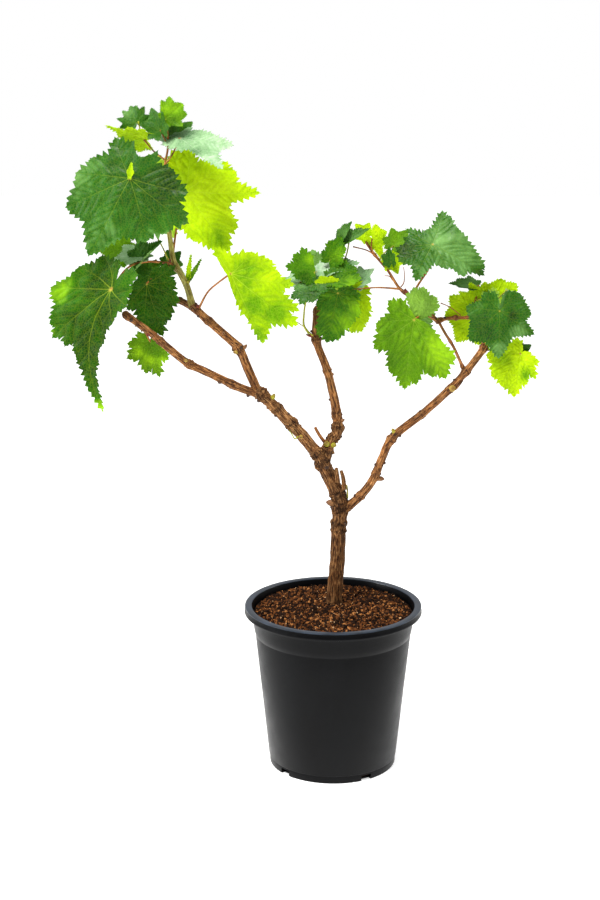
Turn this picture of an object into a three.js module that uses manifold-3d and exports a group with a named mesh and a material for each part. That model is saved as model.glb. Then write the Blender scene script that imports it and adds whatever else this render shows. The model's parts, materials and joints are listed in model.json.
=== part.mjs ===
// A young grapevine in a round nursery pot, in millimetres with +Z up.
// The origin is the centre of the pot's flat underside, and -Y is the plant's front.
// A woody trunk forks into a left bough and a right cane. Leafy shoots rise from the canes,
// and each mass of leaves is one closed solid of lobed blades joined by their stalks.

import * as THREE from "three";
import { mergeVertices } from "three/addons/utils/BufferGeometryUtils.js";
import Module from "manifold-3d";

const wasm = await Module();
wasm.setup();

// Pot and growing medium
const POT_HEIGHT = 206;
const RIM_RADIUS = 110;
const LIP_WIDTH = 9;
const RIM_FOOT = 197;
const COLLAR_RADIUS = 100;
const COLLAR_FOOT = 171;
const COLLAR_TAPER = 3.2;
const COLLAR_BEVEL = 13;
const COLLAR_STEP = 2;
const RIM_ROUND = 1;
const COLLAR_FLARE = 3;
const BODY_TOP_RADIUS = 96.6;
const BODY_FOOT_RADIUS = 80;
const FOOT_HEIGHT = 10;
const FOOT_INSET = 1;
const WALL = 1.5;
const FLOOR = 2;
const POT_SIDES = 32;
const DRAIN_WIDTH = 14;
const DRAIN_HEIGHT = 7;
const DRAIN_BEARINGS = [-48, 32, 132, 212];
const SOIL_HEIGHT = 199.5;
const SOIL_EDGE_DROP = 3;
const SOIL_UNEVEN = 1.2;

// Limbs and leaves
const GAP = 0.35;
const SLIVER = 0.05;
const LIMB_SIDES = 8;
const LIMB_STEP = 26;
const STALK_SIDES = 4;
const STALK_STEP = 34;
const STALK_RADIUS = 1.7;
const BLADE_THICKNESS = 4;
const BLADE_RINGS = 4;
const SMALL_BLADE = 40;
const SMALL_BLADE_RINGS = 2;
const SINUS_DEPTH = 0.84;
const PETIOLE_SINUS = 0.16;
const SEVEN_LOBES = [[-146, 0.42], [-100, 0.6], [-50, 0.8], [0, 1], [50, 0.8], [100, 0.6], [146, 0.42]];
const FIVE_LOBES = [[-125, 0.55], [-60, 0.8], [0, 1], [60, 0.8], [125, 0.55]];

const COLOURS = {
  pot: { color: 0x23262a, roughness: 0.45, metalness: 0 },
  soil: { color: 0x5a3322, roughness: 0.95, metalness: 0 },
  bark: { color: 0x8a5a3a, roughness: 0.85, metalness: 0 },
  shoot: { color: 0x8f9a45, roughness: 0.6, metalness: 0 },
  dark: { color: 0x2f6a2c, roughness: 0.45, metalness: 0 },
  mid: { color: 0x4c8a26, roughness: 0.5, metalness: 0 },
  lime: { color: 0xa4cf1e, roughness: 0.5, metalness: 0 },
};

// Woody limbs, from the foot up: a path, the radius at its base and at its tip, and its knots.
const LIMBS = [
  {
    name: "trunk", colour: "bark", base: 9.6, tip: 8.6,
    path: [
      [1, 18, 190], [2, 18, 218], [5, 16, 258], [6, 14, 298],
      [8, 12, 334], [-1, 12, 358], [-18, 12, 392],
    ],
    knots: [[0, 4.5, 0.1], [0.62, 1.8, 0.08]],
  },
  {
    name: "bough_left", colour: "bark", base: 7.4, tip: 6,
    path: [[-14, 12, 389], [-31, 8, 410], [-56, 2, 440], [-80, 0, 465], [-94, 0, 477]],
    knots: [[1, 2.2, 0.12]],
  },
  {
    name: "cane_left_upper", colour: "bark", base: 5.8, tip: 4.6,
    path: [
      [-92, 2, 475], [-103, 8, 499], [-116, 15, 526],
      [-131, 18, 540], [-162, 22, 567], [-175, 22, 580],
    ],
    knots: [[0.42, 1.8, 0.06], [0.95, 1.2, 0.08]],
  },
  {
    name: "stub_left", colour: "bark", base: 3, tip: 2.2,
    path: [[-168, 22, 574], [-183, 26, 580], [-190, 28, 583]],
  },
  {
    name: "shoot_left", colour: "shoot", base: 4.2, tip: 2.6,
    path: [
      [-172, 22, 577], [-177, 20, 599], [-185, 16, 617],
      [-191, 14, 627], [-197, 14, 666], [-200, 12, 687],
    ],
    knots: [[0.45, 1, 0.08]],
  },
  {
    name: "cane_left_lower", colour: "bark", base: 5, tip: 4,
    path: [
      [-92, 0, 473], [-113, -8, 482], [-155, -20, 505],
      [-175, -25, 516], [-218, -36, 555], [-248, -42, 579],
    ],
    knots: [[0.47, 1.2, 0.05]],
  },
  {
    name: "spur_middle", colour: "bark", base: 6.4, tip: 7.4,
    path: [[-12, 12, 385], [-6, 20, 405], [3, 24, 418], [5, 28, 433]],
    knots: [[0.8, 1.2, 0.2]],
  },
  {
    name: "cane_middle", colour: "bark", base: 5.8, tip: 3.8,
    path: [[5, 28, 433], [1, 34, 455], [-9, 40, 494], [-20, 44, 523], [-23, 46, 536], [-21, 50, 572]],
    knots: [[0.72, 1.6, 0.07]],
  },
  {
    name: "cane_right", colour: "bark", base: 5.6, tip: 4.2,
    path: [
      [9, 12, 322], [19, 10, 330], [34, 4, 346], [48, -2, 367], [58, -8, 394], [70, -12, 421],
      [108, -18, 455], [148, -24, 496], [173, -28, 530], [179, -28, 540],
    ],
    knots: [[0.42, 1.1, 0.04], [0.9, 1.2, 0.04]],
  },
  {
    name: "shoot_right", colour: "bark", base: 2.2, tip: 1.9,
    path: [[154, -25, 510], [142, -10, 533], [132, 2, 548], [123, 11, 563]],
  },
  {
    name: "shoot_right_up", colour: "bark", base: 3.1, tip: 2.1,
    path: [[124, 10, 561], [103, 20, 581], [79, 30, 596], [65, 36, 616], [45, 46, 639]],
    knots: [[0, 0.8, 0.08], [0.47, 0.9, 0.06]],
  },
  {
    name: "shoot_right_out", colour: "bark", base: 2.3, tip: 2,
    path: [[124, 10, 562], [140, 2, 566], [161, -6, 569]],
  },
];

// Masses of leaves. A stalk is a path. A blade runs from its junction to its tip, with its face
// towards `facing`; `lobes` are [bearing from the midrib in degrees, reach in blade lengths].
const MASSES = [
  {
    name: "foliage_left_front", colour: "dark",
    stalks: [[[-201, 12, 690], [-216, -15, 712], [-236, -44, 736]]],
    blades: [
      {
        from: [-236, -45, 736], to: [-283, -62, 650], facing: [-0.1, -0.95, 0.3], droop: 12,
        lobes: [
          [-131, 0.5], [-102, 0.56], [-69, 0.62], [-39, 0.82], [0, 1],
          [45, 0.74], [80, 0.79], [120, 0.66], [162, 0.44],
        ],
      },
    ],
  },
  {
    name: "foliage_left_back", colour: "lime",
    stalks: [[[-196, 15, 648], [-187, 20, 678], [-178, 21, 712]]],
    blades: [
      {
        from: [-177, 20, 714], to: [-123, 10, 646], facing: [0.1, -1, 0.05], droop: 10,
        lobes: [
          [-140, 0.45], [-100, 0.55], [-52, 0.68], [0, 1],
          [25, 0.86], [53, 0.99], [88, 0.68], [125, 0.55],
        ],
      },
    ],
  },
  {
    name: "foliage_left_crown", colour: "mid",
    stalks: [
      [[-201, 12, 692], [-203, 10, 716], [-200, 8, 746], [-196, 8, 768], [-197, 2, 804]],
      [[-198, 7, 746], [-190, 5, 760], [-182, 0, 779]],
      [[-200, 8, 752], [-214, 9, 763], [-226, 13, 777], [-231, 15, 797]],
      [[-197, 7, 770], [-204, 0, 789]],
    ],
    blades: [
      { from: [-182, 0, 779], to: [-124, -42, 760], facing: [-0.15, -0.38, 0.9], droop: 14 },
      { from: [-224, 12, 775], to: [-266, -5, 792], facing: [-0.2, -0.7, -0.6] },
      { from: [-230, 15, 796], to: [-248, 20, 813], facing: [-0.1, -0.8, 0.6] },
      { from: [-204, 0, 787], to: [-216, 8, 811], facing: [-0.5, -0.8, 0.3] },
      { from: [-197, -5, 803], to: [-173, -5, 816], facing: [0, -1, 0.2] },
      { from: [-190, 10, 778], to: [-166, 12, 799], facing: [0.3, -0.8, 0.4] },
    ],
  },
  {
    name: "foliage_left_rear", colour: "lime",
    stalks: [
      [[-204, 17, 700], [-212, 40, 715], [-222, 64, 724]],
      [[-222, 64, 724], [-190, 70, 722], [-160, 72, 716]],
    ],
    blades: [
      { from: [-224, 66, 723], to: [-196, 78, 652], facing: [-0.15, 1, 0.25], droop: 10 },
      { from: [-230, 60, 718], to: [-286, 52, 682], facing: [-0.3, 1, 0.1], droop: 8 },
      { from: [-162, 72, 716], to: [-128, 74, 664], facing: [0.3, 1, 0.2], droop: 8 },
    ],
  },
  {
    name: "foliage_left_hanging", colour: "mid",
    stalks: [[[-196, 12, 629], [-222, -8, 634], [-242, -28, 630], [-260, -50, 608]]],
    blades: [
      {
        from: [-260, -50, 608], to: [-278, -75, 468], facing: [-0.5, -0.85, 0.2], droop: 10, bend: 0.6,
        lobes: [
          [-143, 0.29], [-85, 0.42], [-36, 0.5], [-8, 0.58], [0, 1],
          [12, 0.52], [40, 0.32], [112, 0.22], [147, 0.24],
        ],
      },
    ],
  },
  {
    name: "foliage_left_inner", colour: "mid",
    stalks: [
      [[-196, 13, 632], [-208, 6, 622], [-224, 5, 605]],
      [[-212, 5, 620], [-226, 5, 632], [-231, 8, 650]],
      [[-228, 5, 634], [-250, 18, 643]],
    ],
    blades: [
      {
        from: [-224, 5, 605], to: [-206, 10, 541], facing: [0, -1, 0.15],
        lobes: [[-130, 0.25], [-85, 0.34], [-40, 0.66], [0, 1], [45, 0.72], [90, 0.62], [140, 0.3]],
      },
      { from: [-250, 20, 643], to: [-285, 20, 647], facing: [0, -1, 0.4] },
      { from: [-229, 5, 641], to: [-263, 0, 637], facing: [-0.1, -0.4, 0.9] },
      { from: [-228, -2, 632], to: [-206, -4, 658], facing: [-0.5, -0.5, 0.5] },
    ],
  },
  {
    name: "foliage_left_under", colour: "mid",
    stalks: [[[-230, -36, 559], [-228, -18, 556], [-221, 0, 536]]],
    blades: [
      {
        from: [-221, 0, 536], to: [-210, -6, 496], facing: [0, -0.9, 0.4],
        lobes: [[-140, 0.4], [-95, 0.61], [-65, 0.81], [0, 1], [28, 0.71], [60, 0.6], [110, 0.5]],
      },
    ],
  },
  {
    name: "foliage_left_sprig", colour: "lime",
    stalks: [[[-183, 19, 612], [-178, 20, 603]]],
    blades: [
      { from: [-178, 20, 603], to: [-172, 20, 638], facing: [0, -1, 0.1], wide: 0.4 },
      { from: [-177, 20, 604], to: [-160, 18, 633], facing: [0, -1, 0.1], wide: 0.4 },
    ],
  },
  {
    name: "foliage_left_low", colour: "lime",
    stalks: [[[-165, 18, 577], [-152, 14, 594], [-138, 2, 608], [-123, -8, 620]]],
    blades: [
      {
        from: [-123, -8, 620], to: [-86, -14, 539], facing: [0.2, -1, 0.1],
        lobes: [[-5, 0.6], [0, 1], [29, 1.1], [57, 0.82], [80, 0.55], [112, 0.37], [189, 0.39]],
      },
    ],
  },
  {
    name: "foliage_middle_upper", colour: "mid",
    stalks: [
      [[-22, 46, 548], [-37, 40, 556], [-33, 32, 582], [-24, 22, 603], [-5, 20, 607]],
      [[-24, 20, 618], [-5, 20, 607], [6, 30, 620], [17, 40, 648], [30, 42, 644]],
      [[-24, 22, 603], [-42, 28, 604]],
      [[6, 30, 620], [26, 46, 604]],
      [[-5, 20, 607], [-6, 60, 612], [-12, 92, 611]],
    ],
    blades: [
      {
        from: [-24, 20, 618], to: [-51, 18, 637], facing: [0, -1, 0.2],
        lobes: [[-110, 0.5], [-60, 0.7], [-25, 0.9], [0, 1], [30, 0.95], [70, 0.7], [120, 0.6]],
      },
      { from: [6, 35, 620], to: [27, 30, 635], facing: [0, -0.4, 0.9] },
      { from: [6, 30, 627], to: [-2, 30, 656], facing: [0, -1, 0.2] },
      { from: [16, 42, 651], to: [21, 42, 675], facing: [-0.7, -0.7, 0.1] },
      { from: [17, 38, 649], to: [40, 38, 667], facing: [-0.3, -0.5, 0.8] },
      { from: [-2, 18, 607], to: [29, 14, 614], facing: [0, -0.9, 0.5] },
      { from: [-5, 16, 601], to: [-52, 4, 589], facing: [-0.1, -0.6, 0.8], wide: 0.6 },
      { from: [28, 50, 601], to: [46, 50, 618], facing: [0, -0.5, 0.8] },
      { from: [-42, 30, 604], to: [-63, 30, 609], facing: [0, -0.5, 0.8] },
      { from: [-12, 94, 611], to: [-43, 104, 582], facing: [-0.1, 1, 0.2] },
    ],
  },
  {
    name: "foliage_middle_lower", colour: "mid",
    stalks: [
      [[-16, 50, 572], [-10, 44, 582], [4, 24, 590]],
      [[-10, 44, 582], [6, 46, 590], [19, 45, 592]],
      [[-8, 46, 584], [-2, 66, 588], [1, 84, 585]],
    ],
    blades: [
      {
        from: [4, 22, 590], to: [-10, 30, 529], facing: [0, -1, 0.1],
        lobes: [[-130, 0.25], [-80, 0.35], [-30, 0.6], [0, 1], [50, 0.76], [95, 0.35], [135, 0.25]],
      },
      { from: [19, 44, 592], to: [30, 48, 539], facing: [0.1, -1, 0.1], wide: 0.75 },
      { from: [1, 84, 585], to: [-5, 90, 534], facing: [0.1, 1, 0.1] },
    ],
  },
  {
    name: "foliage_right_tip", colour: "lime",
    stalks: [
      [[43, 47, 641], [38, 50, 650], [38, 55, 654]],
      [[38, 50, 650], [48, 47, 656], [70, 44, 646]],
      [[70, 44, 646], [68, 36, 628]],
    ],
    blades: [
      { from: [45, 48, 654], to: [58, 44, 631], facing: [0, -1, 0.1] },
      { from: [38, 56, 651], to: [30, 58, 673], facing: [0, -1, 0.1] },
      { from: [68, 44, 644], to: [88, 46, 665], facing: [0, -0.8, 0.5] },
      { from: [68, 34, 632], to: [65, 34, 646], facing: [-0.5, -0.8, 0.1] },
      { from: [68, 37, 632], to: [76, 36, 614], facing: [0, -1, 0.1] },
    ],
  },
  {
    name: "foliage_right_top", colour: "dark",
    stalks: [
      [[92, 27, 598], [99, 16, 602], [113, 5, 628], [115, -12, 655]],
      [[104, 12, 612], [116, 26, 634], [126, 40, 652]],
    ],
    blades: [
      {
        from: [115, -12, 656], to: [177, -30, 632], facing: [-0.1, -0.75, 0.65], droop: 16,
        lobes: [
          [-150, 0.61], [-92, 0.73], [-38, 0.49], [-23, 0.74],
          [0, 1], [52, 0.49], [94, 0.56], [170, 0.5],
        ],
      },
      { from: [126, 40, 654], to: [154, 54, 619], facing: [0.2, 0.8, 0.6], droop: 10 },
    ],
  },
  {
    name: "foliage_right_inner", colour: "mid",
    stalks: [
      [[122, 9, 556], [108, -6, 572], [95, -21, 569]],
      [[122, 13, 558], [112, 26, 566], [104, 36, 560]],
    ],
    blades: [
      { from: [96, -20, 570], to: [112, -24, 603], facing: [0, -1, 0.1] },
      {
        from: [94, -22, 568], to: [84, -34, 487], facing: [0, -1, 0.12],
        lobes: [[-140, 0.36], [-105, 0.48], [-46, 0.69], [0, 1], [35, 0.93], [57, 0.76], [110, 0.2]],
      },
      { from: [104, 35, 560], to: [80, 45, 498], facing: [-0.1, 1, 0.15] },
    ],
  },
  {
    name: "foliage_right_outer", colour: "dark",
    stalks: [
      [[160, -6, 573], [168, 4, 588], [172, 14, 602]],
      [[160, -6, 573], [178, -34, 584], [191, -60, 586]],
      [[180, -38, 585], [192, -40, 598], [201, -39, 606]],
      [[160, -6, 573], [165, 3, 574], [170, 9, 575]],
      [[168, 4, 588], [182, 0, 588], [197, 0, 583]],
    ],
    blades: [
      {
        from: [191, -62, 586], to: [191, -68, 533], facing: [0.1, -0.95, 0.3],
        lobes: [[-139, 0.46], [-103, 0.65], [-57, 0.76], [0, 1], [50, 0.9], [90, 0.6], [132, 0.53]],
      },
      {
        from: [170, 10, 575], to: [147, 8, 536], facing: [0.1, -1, 0],
        lobes: [[-87, 0.82], [-50, 0.85], [0, 1], [36, 0.95], [113, 1.25], [153, 1.24], [172, 1.02]],
      },
      { from: [172, 16, 602], to: [138, 12, 608], facing: [0, -0.45, 0.9] },
      { from: [201, -40, 607], to: [231, -48, 591], facing: [0.2, -0.5, 0.8] },
      { from: [197, 0, 583], to: [190, 10, 532], facing: [0.2, 1, 0.2] },
    ],
  },
  {
    name: "foliage_right_low", colour: "lime",
    stalks: [[[183, -29, 538], [196, -36, 542], [210, -44, 540], [218, -50, 533]]],
    blades: [
      {
        from: [218, -50, 533], to: [211, -56, 483], facing: [0, -1, 0.1],
        lobes: [[-155, 0.4], [-110, 0.6], [-75, 0.83], [-40, 0.8], [0, 1], [32, 0.64], [71, 0.43]],
      },
    ],
  },
];

const radians = THREE.MathUtils.degToRad;
const vector = ([x, y, z]) => new THREE.Vector3(x, y, z);

// A closed geometry as a solid that can be joined and cut.
function solidOf(geometry) {
  const bare = geometry.index ? geometry.toNonIndexed() : geometry.clone();
  bare.deleteAttribute("normal");
  bare.deleteAttribute("uv");
  const merged = mergeVertices(bare, 1e-3);
  const triVerts = new Uint32Array(merged.index.array);
  return new wasm.Manifold(
    new wasm.Mesh({ numProp: 3, vertProperties: merged.attributes.position.array, triVerts }),
  );
}

// The solid's largest connected piece as a geometry, without slivers.
function geometryOf(solid) {
  const pieces = solid.simplify(SLIVER).decompose();
  const largest = pieces.reduce((best, piece) => (piece.volume() > best.volume() ? piece : best));
  const mesh = largest.getMesh();
  const geometry = new THREE.BufferGeometry();
  geometry.setAttribute("position", new THREE.BufferAttribute(mesh.vertProperties, 3));
  geometry.setIndex(new THREE.BufferAttribute(mesh.triVerts, 1));
  geometry.computeVertexNormals();
  return geometry;
}

// A closed round rod along a path, tapering from base to tip, with a swelling at each knot.
function rod({ path, base, tip, knots = [] }, sides, step, grow = 0) {
  const curve = new THREE.CatmullRomCurve3(path.map(vector), false, "centripetal");
  const steps = Math.max(path.length - 1, Math.ceil(curve.getLength() / step));
  const frames = curve.computeFrenetFrames(steps, false);
  const geometry = new THREE.CylinderGeometry(1, 1, 1, sides, steps);
  const position = geometry.attributes.position;
  for (let i = 0; i < position.count; i += 1) {
    const station = Math.round((position.getY(i) + 0.5) * steps);
    const along = station / steps;
    const swelling = knots.reduce((sum, [at, height, width]) => {
      return sum + height * Math.exp(-(((along - at) / width) ** 2));
    }, 0);
    const radius = THREE.MathUtils.lerp(base, tip, along) + swelling + grow;
    const point = curve.getPointAt(along);
    point.addScaledVector(frames.normals[station], position.getX(i) * radius);
    point.addScaledVector(frames.binormals[station], -position.getZ(i) * radius);
    const reach = station === 0 ? -grow : station === steps ? grow : 0;
    point.addScaledVector(frames.tangents[station], reach);
    position.setXYZ(i, point.x, point.y, point.z);
  }
  return solidOf(geometry);
}

// The outline of a lobed leaf, counter-clockwise: each lobe's tip and the sinus after it.
function outline(lobes, wide) {
  return lobes.flatMap(([bearing, reach], i) => {
    const [next, nextReach] = lobes[(i + 1) % lobes.length];
    const isLast = i === lobes.length - 1;
    const span = radians(isLast ? next + 360 - bearing : next - bearing);
    const chord = (reach * nextReach * Math.sin(span)) / ((reach + nextReach) * Math.sin(span / 2));
    const depth = isLast ? PETIOLE_SINUS : chord * SINUS_DEPTH;
    const points = [[radians(bearing), reach], [radians(bearing) + span / 2, depth]];
    return points.map(([angle, length]) => [length * Math.cos(angle), wide * length * Math.sin(angle)]);
  });
}

// A thin lens in the leaf's outline, drooping along its midrib and bent sideways in its plane.
function blade({ from, to, facing, lobes, wide = 1, droop = 0, bend = 0 }, grow = 0) {
  const origin = vector(from);
  const length = vector(to).sub(origin).length();
  const isSmall = length < SMALL_BLADE;
  const rings = isSmall ? SMALL_BLADE_RINGS : BLADE_RINGS;
  const midrib = vector(to).sub(origin).normalize();
  const face = vector(facing);
  face.addScaledVector(midrib, -face.dot(midrib)).normalize();
  const across = new THREE.Vector3().crossVectors(face, midrib);
  const edge = outline(lobes ?? (isSmall ? FIVE_LOBES : SEVEN_LOBES), wide);
  const geometry = new THREE.SphereGeometry(1, edge.length, rings);
  const position = geometry.attributes.position;
  const halfThickness = BLADE_THICKNESS / 2 + grow;
  const swell = 1 + (2 * grow) / length;
  for (let i = 0; i < position.count; i += 1) {
    const [along, aside] = edge[(i % (edge.length + 1)) % edge.length];
    const ring = Math.floor(i / (edge.length + 1)) / rings;
    const u = Math.sin(ring * Math.PI) * along * swell;
    const v = Math.sin(ring * Math.PI) * aside * swell + bend * u * (Math.abs(u) - 1);
    const sag = radians(droop) * u;
    const point = origin.clone();
    point.addScaledVector(midrib, length * u * (1 - (sag * sag) / 6));
    point.addScaledVector(across, length * v);
    point.addScaledVector(face, (-length * u * sag) / 2 + Math.cos(ring * Math.PI) * halfThickness);
    position.setXYZ(i, point.x, point.y, point.z);
  }
  return solidOf(geometry);
}

// Every stalk and blade of a mass joined into one solid.
function massSolid({ stalks, blades }, grow = 0) {
  const stalk = { base: STALK_RADIUS, tip: STALK_RADIUS };
  const rods = stalks.map((path) => rod({ ...stalk, path }, STALK_SIDES, STALK_STEP, grow));
  const plates = blades.map((leaf) => blade(leaf, grow));
  return [...rods, ...plates].reduce((whole, piece) => whole.add(piece));
}

// Everything below the level where the trunk is cut flat, just above the soil.
const ground = new THREE.BoxGeometry(2 * RIM_RADIUS, 2 * RIM_RADIUS, SOIL_HEIGHT);
const groundSolid = solidOf(ground.translate(0, 0, SOIL_HEIGHT / 2 + GAP));

function limbSolid(limb, grow = 0) {
  return rod(limb, LIMB_SIDES, LIMB_STEP, grow).subtract(groundSolid);
}

// A solid of revolution about the pot's axis, from its profile of [radius, height].
function turned(profile) {
  const geometry = new THREE.LatheGeometry(profile.map(([r, z]) => new THREE.Vector2(r, z)), POT_SIDES);
  return geometry.rotateX(Math.PI / 2);
}

function innerWall(height) {
  const rise = (height - FOOT_HEIGHT) / (COLLAR_FOOT - FOOT_HEIGHT);
  return THREE.MathUtils.lerp(BODY_FOOT_RADIUS, BODY_TOP_RADIUS, Math.min(rise, 1)) - FOOT_INSET - WALL;
}

function collarWall(height) {
  return innerWall(COLLAR_FOOT) + (COLLAR_FLARE * (height - COLLAR_FOOT)) / (RIM_FOOT - COLLAR_FOOT);
}

// The hollow pot with its rolled rim, stepped collar and drain notches round the foot.
function potSolid() {
  const hollow = [
    [RIM_RADIUS - LIP_WIDTH, POT_HEIGHT],
    [collarWall(RIM_FOOT), RIM_FOOT],
    [collarWall(COLLAR_FOOT), COLLAR_FOOT],
    [innerWall(FLOOR), FLOOR],
    [0, FLOOR],
  ];
  const shell = solidOf(turned([
    [0, 0],
    [BODY_FOOT_RADIUS - FOOT_INSET, 0],
    [BODY_FOOT_RADIUS - FOOT_INSET, FOOT_HEIGHT],
    [BODY_FOOT_RADIUS, FOOT_HEIGHT],
    [BODY_TOP_RADIUS, COLLAR_FOOT - COLLAR_STEP],
    [COLLAR_RADIUS - COLLAR_TAPER, COLLAR_FOOT],
    [COLLAR_RADIUS - COLLAR_TAPER / 4, COLLAR_FOOT + COLLAR_BEVEL],
    [COLLAR_RADIUS, RIM_FOOT - COLLAR_STEP],
    [RIM_RADIUS - 2 * RIM_ROUND, RIM_FOOT],
    [RIM_RADIUS, RIM_FOOT + RIM_ROUND],
    [RIM_RADIUS, POT_HEIGHT - RIM_ROUND],
    [RIM_RADIUS - RIM_ROUND, POT_HEIGHT],
    ...hollow,
  ]));
  return DRAIN_BEARINGS.reduce((pot, bearing) => {
    const notch = new THREE.BoxGeometry(DRAIN_WIDTH, 16, 2 * DRAIN_HEIGHT);
    notch.translate(0, -BODY_FOOT_RADIUS, 0);
    notch.rotateZ(radians(bearing));
    return pot.subtract(solidOf(notch));
  }, shell);
}

// The growing medium fills the pot to a slightly uneven, domed surface.
function soilSolid() {
  const edgeHeight = SOIL_HEIGHT - SOIL_EDGE_DROP;
  const edge = collarWall(edgeHeight) - GAP;
  const geometry = turned([
    [0, FLOOR + GAP],
    [innerWall(FLOOR) - GAP, FLOOR + GAP],
    [collarWall(COLLAR_FOOT) - GAP, COLLAR_FOOT],
    [edge, edgeHeight],
    [edge * 0.8, SOIL_HEIGHT - SOIL_EDGE_DROP / 2],
    [edge * 0.5, SOIL_HEIGHT],
    [edge * 0.25, SOIL_HEIGHT],
    [0, SOIL_HEIGHT],
  ]);
  const position = geometry.attributes.position;
  for (let i = 0; i < position.count; i += 1) {
    const x = position.getX(i);
    const y = position.getY(i);
    const isOpenSurface = position.getZ(i) > edgeHeight && Math.hypot(x, y) > edge * 0.3;
    const lump = Math.sin(x * 0.09 + 1) * Math.cos(y * 0.11) + 0.5 * Math.sin(x * 0.2 - y * 0.17);
    position.setZ(i, position.getZ(i) + (isOpenSurface ? SOIL_UNEVEN * lump : 0));
  }
  return solidOf(geometry);
}

const vine = new THREE.Group();

function addNode(name, solid, colour) {
  const mesh = new THREE.Mesh(geometryOf(solid), new THREE.MeshStandardMaterial(COLOURS[colour]));
  mesh.name = name;
  vine.add(mesh);
}

addNode("pot", potSolid(), "pot");
addNode("soil", soilSolid(), "soil");

// Each limb and mass is cut clear of the pieces before it, with a small gap.
let occupied = null;

function addPiece(item, makeSolid) {
  const whole = makeSolid(item);
  addNode(item.name, occupied ? whole.subtract(occupied) : whole, item.colour);
  const cleared = makeSolid(item, GAP);
  occupied = occupied ? occupied.add(cleared) : cleared;
}

LIMBS.forEach((limb) => addPiece(limb, limbSolid));
MASSES.forEach((mass) => addPiece(mass, massSolid));

export default vine;
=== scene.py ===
"""A young grapevine in a round nursery pot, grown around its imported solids.

The limbs, stalks and leaves repeat the routes of the CAD model, in millimetres, and MM turns
them into metres. Each leaf is its own toothed, veined blade; bark, buds, crumbs and the pot's
moulding are real relief.
"""

import json
import math
import random

import bpy
import numpy as np
from mathutils import Euler, Matrix, Vector, noise
from mathutils.geometry import delaunay_2d_cdt

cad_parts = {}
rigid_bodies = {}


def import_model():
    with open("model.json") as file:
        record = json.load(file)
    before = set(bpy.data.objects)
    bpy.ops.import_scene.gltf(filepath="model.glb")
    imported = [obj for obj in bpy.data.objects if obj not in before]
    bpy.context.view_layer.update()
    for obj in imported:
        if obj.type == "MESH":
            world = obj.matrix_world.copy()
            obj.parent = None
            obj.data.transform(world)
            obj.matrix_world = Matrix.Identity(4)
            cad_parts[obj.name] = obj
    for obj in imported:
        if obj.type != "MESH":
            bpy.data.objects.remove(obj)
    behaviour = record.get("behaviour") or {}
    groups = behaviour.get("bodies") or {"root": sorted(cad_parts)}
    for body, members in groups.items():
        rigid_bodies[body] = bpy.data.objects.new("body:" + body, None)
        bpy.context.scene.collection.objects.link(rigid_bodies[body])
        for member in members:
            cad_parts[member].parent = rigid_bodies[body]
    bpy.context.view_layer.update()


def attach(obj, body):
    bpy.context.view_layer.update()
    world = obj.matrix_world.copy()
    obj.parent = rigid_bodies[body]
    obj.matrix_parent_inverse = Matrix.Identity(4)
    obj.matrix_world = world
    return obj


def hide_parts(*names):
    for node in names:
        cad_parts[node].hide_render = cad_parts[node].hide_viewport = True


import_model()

MM = 0.001
BODY = "root"

# ---------------------------------------------------------------- camera, light and stage


CAMERA_PLACE = (0, -2.2, 0.97)
CAMERA_TILT = 14.45
CAMERA_TURN = 1.07
CAMERA_LENS = 74.8
SENSOR_WIDTH = 36
CLIP_END = 50

WHITE = (1, 1, 1)
# The lamps: name, place, target, size, power, colour
LAMPS = [
    ("overhead", (-0.5, -0.9, 2.5), (0, 0, 0.55), 0.8, 62, (1.0, 0.99, 0.97)),
    ("left_side", (-2.1, -0.5, 1.2), (0, 0, 0.45), 0.8, 26, WHITE),
    ("right_side", (2.0, 0.5, 1.2), (0, 0, 0.45), 0.9, 12, WHITE),
]
# The studio's light: where it starts to brighten, its dimmest and its brightest strength
LIGHT_BY_HEIGHT = (-0.3, 0.35, 0.85)
LIGHT_BY_DEPTH = (-1.0, 0.4, 1.1)

FLOOR_SIZE = 12
FLOOR_GLOW = 0.6
FLOOR_DARK = (0.94, 0.94, 0.94, 1)
FLOOR_BRIGHT = (0.96, 0.96, 0.96, 1)


def add_camera():
    data = bpy.data.cameras.new("camera")
    data.lens = CAMERA_LENS
    data.sensor_width = SENSOR_WIDTH
    data.clip_end = CLIP_END
    camera = bpy.data.objects.new("camera", data)
    camera.location = CAMERA_PLACE
    camera.rotation_euler = Euler((math.radians(90 - CAMERA_TILT), 0, math.radians(CAMERA_TURN)))
    bpy.context.scene.collection.objects.link(camera)
    bpy.context.scene.camera = camera


def add_lamp(name, place, target, size, power, colour):
    data = bpy.data.lights.new(name, "AREA")
    data.shape = "DISK"
    data.size = size
    data.energy = power
    data.color = colour
    lamp = bpy.data.objects.new(name, data)
    lamp.location = place
    lamp.rotation_euler = (Vector(target) - Vector(place)).to_track_quat("-Z", "Y").to_euler()
    bpy.context.scene.collection.objects.link(lamp)


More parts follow.
